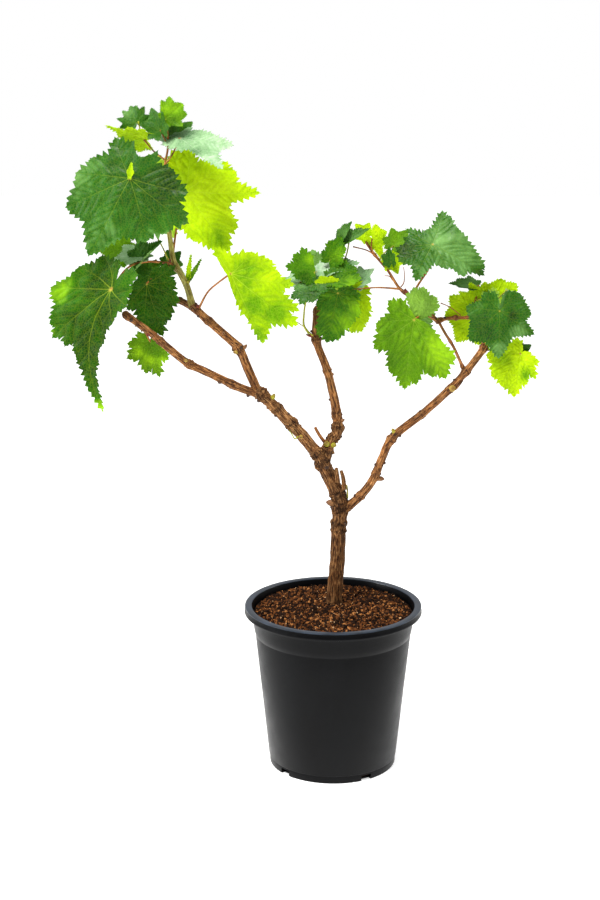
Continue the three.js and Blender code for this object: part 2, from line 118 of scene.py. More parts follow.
def add_world():
    """A white studio: seen as plain white, and lighting the plant more from above and behind."""
    world = bpy.data.worlds.new("studio")
    bpy.context.scene.world = world
    world.use_nodes = True
    tree = world.node_tree
    tree.nodes.clear()
    kinds = (
        "OutputWorld", "MixShader", "LightPath", "Background", "Background", "TexCoord",
        "SeparateXYZ", "MapRange", "MapRange", "Math",
    )
    output, mix, path, seen, lit, place, split, height, depth, product = (
        tree.nodes.new("ShaderNode" + kind) for kind in kinds
    )
    for node in (seen, lit):
        node.inputs["Color"].default_value = (*WHITE, 1)
    for node, (low, dim, bright) in ((height, LIGHT_BY_HEIGHT), (depth, LIGHT_BY_DEPTH)):
        node.inputs["From Min"].default_value = low
        node.inputs["To Min"].default_value = dim
        node.inputs["To Max"].default_value = bright
    product.operation = "MULTIPLY"
    link = tree.links.new
    link(place.outputs["Generated"], split.inputs[0])
    link(split.outputs["Z"], height.inputs["Value"])
    link(split.outputs["Y"], depth.inputs["Value"])
    link(height.outputs[0], product.inputs[0])
    link(depth.outputs[0], product.inputs[1])
    link(product.outputs[0], lit.inputs["Strength"])
    link(path.outputs["Is Camera Ray"], mix.inputs[0])
    link(lit.outputs[0], mix.inputs[1])
    link(seen.outputs[0], mix.inputs[2])
    link(mix.outputs[0], output.inputs[0])


def add_stage():
    add_camera()
    add_world()
    for lamp in LAMPS:
        add_lamp(*lamp)
    scene = bpy.context.scene
    scene.view_settings.view_transform = "Standard"
    scene.view_settings.look = "None"
    bpy.ops.mesh.primitive_plane_add(size=FLOOR_SIZE, location=(0, 0, 0))
    floor = bpy.context.object
    floor.name = "floor"
    floor.data.materials.append(stage_material())


# ---------------------------------------------------------------- materials


def srgb(red, green, blue):
    """A display colour, 0 to 255, as the linear colour that a shader takes."""
    def linear(value):
        value /= 255
        return value / 12.92 if value <= 0.04045 else ((value + 0.055) / 1.055) ** 2.4
    return (linear(red), linear(green), linear(blue), 1)


# The sockets of a Mix node that mixes colours: factor, first, second, and the result
COLOUR_INPUTS = (0, 6, 7)
COLOUR_OUTPUT = 2


class Nodes:
    """A short way to build one material's node tree."""

    def __init__(self, name):
        self.material = bpy.data.materials.new(name)
        self.material.use_nodes = True
        self.tree = self.material.node_tree
        self.shader = self.tree.nodes["Principled BSDF"]

    def add(self, kind, **inputs):
        node = self.tree.nodes.new("ShaderNode" + kind)
        for key, value in inputs.items():
            self.put(node.inputs[key], value)
        return node

    def put(self, socket, value):
        if isinstance(value, bpy.types.NodeSocket):
            self.tree.links.new(value, socket)
        else:
            socket.default_value = value

    def attribute(self, name):
        node = self.tree.nodes.new("ShaderNodeAttribute")
        node.attribute_name = name
        return node

    def objects(self):
        return self.tree.nodes.new("ShaderNodeTexCoord").outputs["Object"]

    def noise(self, vector, scale, detail=3.0, roughness=0.5, distortion=0.0):
        node = self.add("TexNoise", Vector=vector, Scale=scale, Detail=detail, Roughness=roughness)
        node.inputs["Distortion"].default_value = distortion
        return node.outputs["Fac"]

    def grey(self, value):
        return self.add("CombineColor", Red=value, Green=value, Blue=value).outputs[0]

    def stretch(self, vector, scale):
        return self.add("Mapping", Vector=vector, Scale=scale).outputs[0]

    def ramp(self, factor, stops):
        node = self.add("ValToRGB", Fac=factor)
        elements = node.color_ramp.elements
        while len(elements) < len(stops):
            elements.new(0.5)
        for element, (place, colour) in zip(elements, stops):
            element.position = place
            element.color = colour
        return node.outputs["Color"]

    def levels(self, value, low, high, to_low=0.0, to_high=1.0):
        node = self.add("MapRange", Value=value)
        keys = ("From Min", "From Max", "To Min", "To Max")
        for key, number in zip(keys, (low, high, to_low, to_high)):
            node.inputs[key].default_value = number
        return node.outputs[0]

    def mix(self, factor, first, second, blend="MIX"):
        node = self.tree.nodes.new("ShaderNodeMix")
        node.data_type = "RGBA"
        node.blend_type = blend
        for socket, value in zip(COLOUR_INPUTS, (factor, first, second)):
            self.put(node.inputs[socket], value)
        return node.outputs[COLOUR_OUTPUT]

    def math(self, operation, first, second=0.0):
        node = self.tree.nodes.new("ShaderNodeMath")
        node.operation = operation
        self.put(node.inputs[0], first)
        self.put(node.inputs[1], second)
        return node.outputs[0]

    def bump(self, height, strength, distance, normal=None):
        node = self.add("Bump", Height=height, Strength=strength, Distance=distance)
        if normal is not None:
            self.put(node.inputs["Normal"], normal)
        return node.outputs[0]

    def finish(self, colour, roughness, normal=None, specular=0.5):
        self.put(self.shader.inputs["Base Color"], colour)
        self.put(self.shader.inputs["Roughness"], roughness)
        self.shader.inputs["Specular IOR Level"].default_value = specular
        if normal is not None:
            self.put(self.shader.inputs["Normal"], normal)
        return self.material


def stage_material():
    nodes = Nodes("studio_white")
    speck = nodes.noise(nodes.objects(), 3.0)
    colour = nodes.ramp(speck, [(0.0, FLOOR_DARK), (1.0, FLOOR_BRIGHT)])
    nodes.shader.inputs["Emission Color"].default_value = (*WHITE, 1)
    nodes.shader.inputs["Emission Strength"].default_value = FLOOR_GLOW
    return nodes.finish(colour, 0.9, specular=0.1)


# Leaf tones in display colours: two of the blade, its shaded and its sunlit tint, the vein;
# then roughness and specular
TONES = {
    "dark": ((26, 82, 6), (40, 98, 16), (8, 48, 3), (112, 160, 84), (140, 168, 44), 0.42, 0.16),
    "rich": ((32, 88, 2), (48, 108, 6), (10, 50, 1), (128, 180, 8), (150, 174, 34), 0.46, 0.08),
    "mid": ((58, 114, 4), (76, 132, 8), (22, 70, 3), (136, 186, 12), (146, 180, 50), 0.46, 0.08),
    "light": ((74, 122, 2), (90, 138, 6), (44, 92, 3), (146, 196, 16), (150, 182, 60), 0.48, 0.08),
    "sage": (
        (108, 154, 44), (128, 172, 60), (76, 126, 28), (156, 204, 60), (162, 196, 92), 0.5, 0.12,
    ),
    # lime: young leaves' own yellow-green, brightened as painted light for the light that shines
    # through them
    "lime": ((160, 200, 0), (182, 218, 1), (92, 148, 2), (208, 236, 24), (206, 228, 66), 0.5, 0.05),
    # pale: a dark leaf's green, whitened as a painted reflection of the bright studio on its glossy
    # top
    "pale": (
        (100, 146, 90), (150, 182, 136), (26, 80, 30), (196, 212, 188), (196, 216, 180), 0.5, 0.16,
    ),
}

# The leaf's layers of noise, by scale, and how much its cell net and its veins show
BLOTCH_SCALE = 38
SHADE_SCALE = 70
GLOSS_SCALE = 120
GRAIN_SCALE = 260
CELL_SCALE = 330.0
FINE_SCALE = 420
NET_WIDTH = 0.16
NET_STRENGTH = 0.14
VEIN_STRENGTH = 0.5
# The joint with the stalk: where its colour starts to fade, where it ends, and its strength
JOINT_FADE = (0.006, 0.028, 0.6)
JOINT_COLOUR = srgb(206, 176, 78)
UNDER_PALE = srgb(132, 172, 96)
UNDER_LIME = srgb(176, 212, 72)
UNDER_STRENGTH = 0.55
UNDER_GLOSS = (0.62, 0.12)


def leaf_material(tone, is_under):
    """Upper or lower skin. Its colour attribute holds the vein's strength, the reach from the stalk
    and the painted shade and light.
    """
    *colours, roughness, specular = TONES[tone]
    # The shaded and sunlit tints are painted shade and painted light.
    first, second, deep, sunlit_colour, vein = (srgb(*colour) for colour in colours)
    nodes = Nodes(f"leaf_{tone}_{'under' if is_under else 'upper'}")
    place = nodes.objects()
    tint = nodes.add("SeparateColor", Color=nodes.attribute("tint").outputs["Color"])
    blotch = nodes.levels(nodes.noise(place, BLOTCH_SCALE, 4, 0.6), 0.32, 0.68)
    lamina = nodes.mix(blotch, first, second)
    uneven = nodes.levels(nodes.noise(place, SHADE_SCALE, 3), 0.3, 0.7, -0.12, 0.12)
    # Below a half, shade mixes in painted shade; above a half, painted light. Some random
    # unevenness is added.
    shade = nodes.math("ADD", tint.outputs["Blue"], uneven)
    lamina = nodes.mix(nodes.levels(shade, 0.5, 0.0), lamina, deep)
    lamina = nodes.mix(nodes.levels(shade, 0.5, 1.0), lamina, sunlit_colour)
    fine = nodes.levels(nodes.noise(place, FINE_SCALE, 3), 0.25, 0.75, 0.86, 1.12)
    lamina = nodes.mix(1.0, lamina, nodes.grey(fine), "MULTIPLY")
    cells = nodes.add("TexVoronoi", Vector=place, Scale=CELL_SCALE)
    cells.feature = "DISTANCE_TO_EDGE"
    net = nodes.levels(cells.outputs["Distance"], 0.0, NET_WIDTH)
    lamina = nodes.mix(nodes.levels(net, 0.0, 1.0, NET_STRENGTH, 0.0), lamina, vein)
    veined = nodes.levels(tint.outputs["Red"], 0.0, 1.0, 0.0, VEIN_STRENGTH)
    colour = nodes.mix(veined, lamina, vein)
    near, far, strength = JOINT_FADE
    joint = nodes.levels(tint.outputs["Green"], near, far, strength, 0.0)
    colour = nodes.mix(joint, colour, JOINT_COLOUR)
    if is_under:
        # The pale tone is a dark leaf under a painted reflection, so its underside is a dark
        # leaf's.
        pale = UNDER_PALE if tone in ("dark", "rich", "mid", "pale") else UNDER_LIME
        colour = nodes.mix(UNDER_STRENGTH, colour, pale)
        roughness, specular = UNDER_GLOSS
    glint = nodes.noise(place, GLOSS_SCALE, 3)
    gloss = nodes.levels(glint, 0.3, 0.7, roughness - 0.06, roughness + 0.1)
    height = nodes.math("ADD", nodes.math("MULTIPLY", net, 0.5), nodes.noise(place, GRAIN_SCALE, 4))
    normal = nodes.bump(height, 0.26, 0.0006)
    return nodes.finish(colour, gloss, normal, specular)


# Bark tones in display colours: crack, body and streak
BARKS = {
    "trunk": ((20, 11, 6), (98, 60, 30), (172, 126, 80)),
    "old": ((28, 15, 8), (126, 80, 42), (200, 152, 98)),
    "cane": ((40, 20, 8), (128, 77, 34), (198, 143, 86)),
    "twig": ((72, 34, 12), (142, 82, 34), (196, 136, 76)),
    "green": ((92, 60, 24), (142, 134, 54), (196, 190, 112)),
    "red_stalk": ((102, 52, 18), (160, 94, 40), (208, 148, 82)),
    "lime_stalk": ((116, 112, 16), (158, 162, 34), (204, 200, 80)),
    "knob": ((28, 15, 8), (92, 58, 32), (176, 132, 90)),
}


WOODY = ("trunk", "old", "cane", "knob")
# Fibre noise is stretched along the limb; each roughness is its lowest and its highest
STRAND_STRETCH = (0.9, 0.9, 0.07)
THREAD_STRETCH = (2.6, 2.6, 0.22)
PATCH_SCALE = 0.09
WOODY_ROUGHNESS = (0.62, 0.86)
SMOOTH_ROUGHNESS = (0.42, 0.6)
BARK_SPECULAR = {"trunk": 0.1, "old": 0.12, "knob": 0.1}


def bark_material(tone):
    """Fibres run along the limb: `fibre` holds the place round and along it, in millimetres."""
    crack, body, streak = (srgb(*colour) for colour in BARKS[tone])
    is_woody = tone in WOODY
    nodes = Nodes(f"bark_{tone}")
    fibre = nodes.attribute("fibre").outputs["Vector"]
    strands = nodes.noise(nodes.stretch(fibre, STRAND_STRETCH), 1.0, 6, 0.62, 0.4)
    fine = nodes.noise(nodes.stretch(fibre, THREAD_STRETCH), 1.0, 4, 0.6)
    patches = nodes.noise(fibre, PATCH_SCALE, 3, 0.5)
    strands = nodes.math("MULTIPLY", strands, 0.62)
    fibres = nodes.math("ADD", strands, nodes.math("MULTIPLY", fine, 0.38))
    colour = nodes.ramp(fibres, [(0.42, crack), (0.5, body), (0.6, streak)])
    shade = nodes.levels(patches, 0.32, 0.68, 0.52, 1.3)
    colour = nodes.mix(1.0, colour, nodes.grey(shade), "MULTIPLY")
    depth = nodes.levels(nodes.attribute("hollow").outputs["Fac"], 0.0, 1.0, 0.0, 0.8)
    colour = nodes.mix(depth, colour, crack)
    roughness = nodes.levels(fine, 0.3, 0.7, *(WOODY_ROUGHNESS if is_woody else SMOOTH_ROUGHNESS))
    normal = nodes.bump(fibres, 0.85 if is_woody else 0.25, 0.0012)
    return nodes.finish(colour, roughness, normal, BARK_SPECULAR.get(tone, 0.2))


def pot_material():
    nodes = Nodes("pot_plastic")
    place = nodes.objects()
    bloom = nodes.noise(nodes.stretch(place, (1, 1, 0.35)), 22, 5, 0.6)
    colour = nodes.ramp(bloom, [(0.3, srgb(4, 4, 5)), (0.7, srgb(8, 9, 11))])
    dust = nodes.levels(nodes.noise(place, 900, 2), 0.68, 0.82, 0.0, 0.08)
    colour = nodes.mix(dust, colour, srgb(96, 90, 84))
    roughness = nodes.levels(nodes.noise(place, 60, 4), 0.3, 0.7, 0.3, 0.4)
    grain = nodes.math("ADD", nodes.noise(place, 1600, 2), nodes.math("MULTIPLY", bloom, 0.6))
    return nodes.finish(colour, roughness, nodes.bump(grain, 0.1, 0.0005), 0.1)


def rim_sheen_material():
    """The lip's flat top, coloured a painted bluish sheen: the reflection of the bright studio on
    the grazing black plastic.
    """
    nodes = Nodes("pot_rim_painted_sheen")
    place = nodes.objects()
    sheen_patches = nodes.noise(place, 45, 4, 0.6)
    # A painted bluish sheen in patches; the same patches set the roughness.
    colour = nodes.ramp(sheen_patches, [(0.3, srgb(24, 30, 38)), (0.7, srgb(46, 56, 70))])
    roughness = nodes.levels(sheen_patches, 0.3, 0.7, 0.28, 0.4)
    grain = nodes.noise(place, 1600, 2)
    return nodes.finish(colour, roughness, nodes.bump(grain, 0.1, 0.0005), 0.4)


def crumb_material(name, dark, bright):
    nodes = Nodes(name)
    place = nodes.objects()
    colour = nodes.ramp(nodes.noise(place, 260, 4, 0.6), [(0.3, dark), (0.7, bright)])
    height = nodes.noise(place, 1500, 3)
    roughness = nodes.levels(height, 0.3, 0.7, 0.8, 0.98)
    return nodes.finish(colour, roughness, nodes.bump(height, 0.6, 0.0008), 0.1)


def bud_material(name, base, tip):
    nodes = Nodes(name)
    reach = nodes.attribute("hollow").outputs["Fac"]
    grain = nodes.noise(nodes.objects(), 900, 3)
    uneven = nodes.levels(grain, 0.3, 0.7, -0.15, 0.15)
    colour = nodes.mix(nodes.math("ADD", reach, uneven), tip, base)
    roughness = nodes.levels(grain, 0.3, 0.7, 0.45, 0.65)
    return nodes.finish(colour, roughness, nodes.bump(grain, 0.3, 0.0004), 0.35)


_materials = {}


def material(kind, *details):
    key = (kind.__name__, *[str(d) for d in details])
    if key not in _materials:
        _materials[key] = kind(*details)
    return _materials[key]


# ---------------------------------------------------------------- mesh helpers

ATTRIBUTE_FIELDS = {"FLOAT": "value", "FLOAT_VECTOR": "vector", "FLOAT_COLOR": "color"}


def add_piece(name, vertices, faces, materials, node, attributes=(), indices=None, sharp=()):
    """A mesh piece in metres from millimetres, riding on the one body."""
    mesh = bpy.data.meshes.new(name)
    mesh.from_pydata((np.asarray(vertices, float) * MM).tolist(), [], [list(f) for f in faces])
    mesh.validate()
    for item in materials:
        mesh.materials.append(item)
    if indices is not None:
        mesh.polygons.foreach_set("material_index", np.asarray(indices, np.int32))
    mesh.polygons.foreach_set("use_smooth", np.ones(len(mesh.polygons), bool))
    for title, kind, values in attributes:
        layer = mesh.attributes.new(title, kind, "POINT")
        layer.data.foreach_set(ATTRIBUTE_FIELDS[kind], np.asarray(values, np.float32).ravel())
    if len(sharp):
        wanted = {tuple(sorted(e)) for e in sharp}
        flags = [tuple(sorted(edge.vertices)) in wanted for edge in mesh.edges]
        mesh.attributes.new("sharp_edge", "BOOLEAN", "EDGE").data.foreach_set("value", flags)
    mesh.update()
    piece = bpy.data.objects.new(name, mesh)
    bpy.context.scene.collection.objects.link(piece)
    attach(piece, BODY)
    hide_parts(node)
    return piece


class Batch:
    """Many small meshes joined into one piece."""

    def __init__(self):
        self.vertices, self.faces, self.fibre, self.hollow = [], [], [], []

    def add(self, vertices, faces, fibre=None, hollow=None):
        start = len(self.vertices)
        self.vertices.extend(vertices)
        self.faces.extend([[start + i for i in face] for face in faces])
        self.fibre.extend(fibre if fibre is not None else vertices)
        self.hollow.extend(hollow if hollow is not None else [0.0] * len(vertices))

    def build(self, name, materials, node, slot):
        attributes = [("fibre", "FLOAT_VECTOR", self.fibre), ("hollow", "FLOAT", self.hollow)]
        return add_piece(name, self.vertices, self.faces, materials, node, attributes)


# Tubes: steps of the curve between two points, and how the two ends are closed
CURVE_STEPS = 16
FIRST_SIDE = (0.3, 1, 0.2)
BASE_DIP = 0.2
TIP_BULGE = 0.35
CAP_HOLLOW = 0.6


def spline(points, step):
    """A smooth centripetal curve through the points, as evenly spaced stations with frames."""
    points = [Vector(p) for p in points]
    ends = [2 * points[0] - points[1]] + points + [2 * points[-1] - points[-2]]
    dense = []
    for a, b, c, d in zip(ends, ends[1:], ends[2:], ends[3:]):
        ab, bc, cd = ((q - p).length ** 0.5 for p, q in ((a, b), (b, c), (c, d)))
        first = (b - a) / ab - (c - a) / (ab + bc) + (c - b) / bc
        second = (c - b) / bc - (d - b) / (bc + cd) + (d - c) / cd
        for k in range(CURVE_STEPS):
            t = k / CURVE_STEPS
            dense.append(
                (2 * t**3 - 3 * t**2 + 1) * b
                + (t**3 - 2 * t**2 + t) * bc * first
                + (3 * t**2 - 2 * t**3) * c
                + (t**3 - t**2) * bc * second
            )
    dense.append(points[-1])
    dense = np.array(dense)
    run = np.concatenate([[0], np.cumsum(np.linalg.norm(np.diff(dense, axis=0), axis=1))])
    count = max(2, int(round(run[-1] / step)) + 1)
    stations = np.linspace(0, run[-1], count)
    centre = np.stack([np.interp(stations, run, dense[:, i]) for i in range(3)], axis=1)
    tangent = np.gradient(centre, axis=0)
    tangent /= np.linalg.norm(tangent, axis=1)[:, None]
    side = np.cross(tangent[0], FIRST_SIDE)
    sides = []
    for direction in tangent:
        side = side - direction * (side @ direction)
        side = side / np.linalg.norm(side)
        sides.append(side)
    sides = np.array(sides)
    return stations, centre, tangent, sides, np.cross(tangent, sides)


def ring_faces(rings, sides):
    """The four-sided faces between rings of points that follow each other."""
    faces = []
    for near in range(0, (rings - 1) * sides, sides):
        far = near + sides
        for j in range(sides):
            k = (j + 1) % sides
            faces.append((near + j, near + k, far + k, far + j))
    return faces


def tube(points, radius, sides, step, relief=None):
    """Rings round a path, closed at both ends.

    radius(s, length) gives millimetres; relief(angle, s, length) gives millimetres and a hollow.
    """
    stations, centre, tangent, side, over = spline(points, step)
    length = stations[-1]
    angles = np.arange(sides) * 2 * math.pi / sides
    vertices, fibre, hollow = [], [], []
    for i, s in enumerate(stations):
        base = radius(s, length)
        for angle in angles:
            lift, pit = relief(angle, s, length) if relief else (0.0, 0.0)
            out = math.cos(angle) * side[i] + math.sin(angle) * over[i]
            vertices.append(centre[i] + (base + lift) * out)
            fibre.append((math.cos(angle) * base, math.sin(angle) * base, s))
            hollow.append(pit)
    faces = ring_faces(len(stations), sides)
    last = (len(stations) - 1) * sides
    tip_reach = radius(length, length) * TIP_BULGE
    vertices.append(centre[-1] + tangent[-1] * tip_reach)
    fibre.append((0, 0, length))
    hollow.append(CAP_HOLLOW)
    faces.extend([(last + j, last + (j + 1) % sides, len(vertices) - 1) for j in range(sides)])
    vertices.append(centre[0] - tangent[0] * BASE_DIP)
    fibre.append((0, 0, 0))
    hollow.append(CAP_HOLLOW)
    faces.extend([((j + 1) % sides, j, len(vertices) - 1) for j in range(sides)])
    return vertices, faces, fibre, hollow


# ---------------------------------------------------------------- limbs

# The limbs, as in the CAD model: bark tone, base and tip radius, path, and knots as
# (place along the limb, height, width)
LIMBS = {
    "trunk": dict(
        bark="trunk", base=9.4, tip=8.4,
        path=[
            (1, 18, 193), (2, 18, 218), (5, 16, 258), (6, 14, 298), (8, 12, 334), (-1, 12, 358),
            (-18, 12, 392),
        ],
        knots=[
            (0, 0.9, 0.05), (0.51, 1.0, 0.012), (0.56, 1.4, 0.018), (0.66, 2.0, 0.05),
            (0.74, 1.2, 0.03), (0.97, 1.3, 0.05),
        ],
    ),
    "bough_left": dict(
        bark="old", base=7.4, tip=6.4,
        path=[(-12, 12, 384), (-31, 8, 410), (-56, 2, 440), (-80, 0, 465), (-94, 0, 478)],
        knots=[(0.12, 0.8, 0.05), (0.52, 1.0, 0.04), (0.72, 0.8, 0.04), (0.97, 2.2, 0.1)],
    ),
    "cane_left_upper": dict(
        bark="cane", base=5.6, tip=4.6,
        path=[
            (-90, 2, 470), (-103, 8, 499), (-116, 15, 526), (-131, 18, 540), (-162, 22, 567),
            (-174, 22, 579),
        ],
        knots=[(0.44, 1.9, 0.035), (0.78, 0.7, 0.03), (0.97, 1.3, 0.05)],
    ),
    "stub_left": dict(
        bark="old", base=4.2, tip=3.2, path=[(-166, 22, 572), (-183, 26, 580), (-190, 28, 583)],
        knots=[(1, 1.0, 0.2)],
    ),
    "shoot_left": dict(
        bark="green", base=4.3, tip=2.6,
        path=[
            (-171, 22, 575), (-177, 20, 599), (-185, 16, 617), (-191, 14, 627), (-197, 14, 666),
            (-200, 12, 687),
        ],
        knots=[(0.0, 0.8, 0.06), (0.46, 1.2, 0.04)],
    ),
    "cane_left_lower": dict(
        bark="cane", base=5.0, tip=3.9,
        path=[
            (-88, 2, 471), (-113, -8, 482), (-155, -20, 505), (-175, -25, 516), (-218, -36, 555),
            (-248, -42, 579),
        ],
        knots=[(0.2, 0.7, 0.03), (0.49, 1.3, 0.025), (0.72, 0.7, 0.02), (0.97, 0.9, 0.03)],
    ),
    "spur_middle": dict(
        bark="old", base=6.4, tip=6.4,
        path=[(-12, 12, 380), (-6, 20, 405), (3, 24, 418), (5, 28, 434)],
        knots=[(0.3, 1.6, 0.08), (0.62, 0.8, 0.06), (0.85, 1.4, 0.07)],
    ),
    "cane_middle": dict(
        bark="cane", base=5.8, tip=3.8,
        path=[
            (5, 28, 428), (1, 34, 455), (-9, 40, 494), (-20, 44, 523), (-23, 46, 536),
            (-21, 50, 572),
        ],
        knots=[(0.08, 1.0, 0.04), (0.45, 0.7, 0.02), (0.72, 2.0, 0.03), (0.95, 0.9, 0.04)],
    ),
    "cane_right": dict(
        bark="cane", base=5.4, tip=4.1,
        path=[
            (5, 12, 320), (19, 10, 330), (34, 4, 346), (48, -2, 367), (58, -8, 394), (70, -12, 421),
            (108, -18, 455), (148, -24, 496), (173, -28, 530), (179, -28, 540),
        ],
        knots=[
            (0.03, 1.4, 0.03), (0.13, 0.9, 0.012), (0.26, 0.8, 0.015), (0.43, 1.3, 0.014),
            (0.6, 0.5, 0.012), (0.76, 0.8, 0.014), (0.86, 1.4, 0.014), (0.99, 1.5, 0.02),
        ],
    ),
    "shoot_right": dict(
        bark="twig", base=1.9, tip=1.5,
        path=[(154, -25, 508), (142, -10, 533), (132, 2, 548), (123, 11, 563)],
        knots=[(0.06, 0.9, 0.05), (0.55, 0.6, 0.04), (0.98, 0.9, 0.06)],
    ),
    "shoot_right_up": dict(
        bark="twig", base=2.0, tip=1.3,
        path=[
            (125, 9, 559), (103, 20, 581), (79, 30, 596), (65, 36, 616), (45, 46, 639),
            (38, 50, 650),
        ],
        knots=[(0.0, 1.2, 0.05), (0.42, 0.9, 0.04), (0.86, 0.7, 0.03)],
    ),
    "shoot_right_out": dict(
        bark="twig", base=2.2, tip=1.9,
        path=[(122, 11, 561), (140, 2, 566), (161, -6, 569), (165, -9, 575)],
        knots=[(0.12, 1.4, 0.06), (0.5, 1.6, 0.06), (0.8, 0.8, 0.05)],
    ),
}


# Bark: the spacing of its rings and the depth of its relief in millimetres, and how dark knots are
LIMB_STEP = 1.1
RELIEF_DEPTH = {"trunk": 1.25, "old": 1.2, "cane": 0.55, "knob": 0.7}
SMOOTH_DEPTH = 0.14
OLD_WEAR = 0.42
YOUNG_WEAR = 0.2
SEED_SHIFT = (7.3, 3.1, 11.7)
# Bark noise: how often each layer changes round the limb and along it
STRAND = (3.4, 0.022)
THREAD = (7.5, 0.05)
LUMP = (1.2, 0.09)
ROUGH = (2.6, 0.5)
KNOT_ROUGHNESS = 2.4
# Sides of a limb by its base radius, thickest first
LIMB_SIDES = ((6, 56), (4.5, 40), (0, 24))
TIP_ROUNDING = 0.9
TIP_SHARE = 0.45


def limb_relief(limb, seed):
    """Long ridges and cracks, coarser on old bark, with a rougher skin at each knot."""
    depth = RELIEF_DEPTH.get(limb["bark"], SMOOTH_DEPTH)
    worn = OLD_WEAR if limb["bark"] in ("trunk", "old") else YOUNG_WEAR
    offset = Vector([seed * shift for shift in SEED_SHIFT])

    def relief(angle, s, length):
        along = s / length
        knotty = sum(math.exp(-(((along - at) / width) ** 2)) for at, _, width in limb["knots"])
        ring = Vector((math.cos(angle), math.sin(angle), 0))
        strand, thread, lump, coarse = (
            noise.noise(ring * turning + offset + Vector((0, 0, s * climbing)))
            for turning, climbing in (STRAND, THREAD, LUMP, ROUGH)
        )
        ridge = 1 - 2 * abs(strand)
        crack = max(0.0, (abs(strand) * -6 + 0.55))
        rough = coarse * min(knotty, 1.2)
        skin = 0.35 * ridge + 0.35 * thread + 0.65 * lump - 0.75 * crack
        lift = depth * skin + depth * KNOT_ROUGHNESS * rough
        pit = min(1.0, crack * 0.9 + max(0.0, -rough) * 1.6 + min(knotty, 1) * worn)
        return lift, pit

    return relief


def limb_radius(limb):
    """The tapering radius, swollen at the knots and rounded off at the tip."""
    base, tip, knots = limb["base"], limb["tip"], limb["knots"]

    def radius(s, length):
        along = s / length
        swelling = sum(high * math.exp(-(((along - at) / width) ** 2)) for at, high, width in knots)
        rounding = min(1.0, (length - s) / (TIP_ROUNDING * tip))
        rounding = TIP_SHARE + 0.55 * math.sqrt(rounding)
        return (base + (tip - base) * along + swelling) * rounding

    return radius


def add_limbs():
    for seed, (name, limb) in enumerate(LIMBS.items()):
        sides = next(count for size, count in LIMB_SIDES if limb["base"] > size)
        mesh = tube(limb["path"], limb_radius(limb), sides, LIMB_STEP, limb_relief(limb, seed + 1))
        batch = Batch()
        batch.add(*mesh)
        slot = "green_shoot" if limb["bark"] == "green" else "bark"
        batch.build(f"{name}_bark", [material(bark_material, limb["bark"])], name, slot)


# ---------------------------------------------------------------- leaves


def even_lobes(*right):
    """Lobes on both sides of a tip lobe of full reach, from those right of it, nearest first."""
    left = [(-bearing, reach) for bearing, reach in reversed(right)]
    return (*left, (0, 1), *right)


SEVEN = even_lobes((50, 0.8), (100, 0.6), (146, 0.42))
FIVE = even_lobes((60, 0.8), (125, 0.55))
NARROW = even_lobes((25, 0.55), (55, 0.34), (120, 0.2))
BLADE = even_lobes((6, 0.62), (14, 0.3), (140, 0.06))
ROLLED = even_lobes((16, 0.75), (45, 0.5), (120, 0.3))

# Shape, as shares of the leaf's length: the depth of the clefts and of the bay at the stalk, and
# how far an edge bulges and a tip stands out. Young leaves are shorter than YOUNG_LENGTH
# millimetres; BASAL_SPREAD and NARROW_SPAN are in degrees.
YOUNG_LENGTH = 45
YOUNG_SINUS = 0.84
SINUS = 0.8
PETIOLE = 0.05
BASAL_SPREAD = 35
EDGE_BULGE = 0.015
TIP_RISE = 0.028
YOUNG_TIP_RISE = 0.075
NARROW_SPAN = 32
NARROW_SINUS = 0.96
BASE_FULLNESS = 0.66
# Teeth: spacing, height for each spacing, and the smallest spacing in millimetres
TOOTH = 0.08
TOOTH_HEIGHT = 0.62
SMALLEST_TOOTH = 1.5
SMALL_TOOTH = 0.68
BASE_TOOTH = 0.12
# Veins: least angle between main veins, how many, widths and strengths at the root and the end
VEIN_SPREAD = 24
MOST_VEINS = 7
MAIN_VEIN = ((0.0065, 0.003), (1.0, 0.25))
SIDE_VEIN = ((0.005, 0.003), (0.3, 0.08))
SIDE_VEIN_SPACING = 0.12
SIDE_VEIN_ANGLE = 0.85
SIDE_VEIN_TURN = 0.028
SIDE_VEIN_STEP = 0.025
OUTER_SECTOR = 0.9
# Mesh: points of the grid for each leaf length and their least distance in millimetres
GRID_SPACING = 0.024
GRID_SMALLEST = 1.0
ROW_HEIGHT = 0.87
EDGE_CLEARANCE = 0.45
VEIN_CLEARANCE = 0.6
BLOCK = 96
# Relief: blade thickness in millimetres, the rise between veins, and the quilting's painted shade
# beside the veins and painted light between them
LEAF_THICKNESS = 0.35
VEIN_THICKNESS = 0.35
PILLOW = 0.022
PILLOW_WIDTH = 0.035
QUILT_SHADE = 0.13
QUILT_SHADE_WIDTH = 0.02
CRUMPLE = 0.016
FOLD_WIDTH = 0.07
FAR = 1e9
# What a leaf takes when it says nothing: waves, fold and droop in degrees
WAVE = 0.035
FOLD = 6
DROOP = 8


def leaf(name, tone, start, end, facing, lobes=SEVEN, **shape):
    return dict(name=name, tone=tone, start=start, end=end, facing=facing, lobes=lobes, **shape)
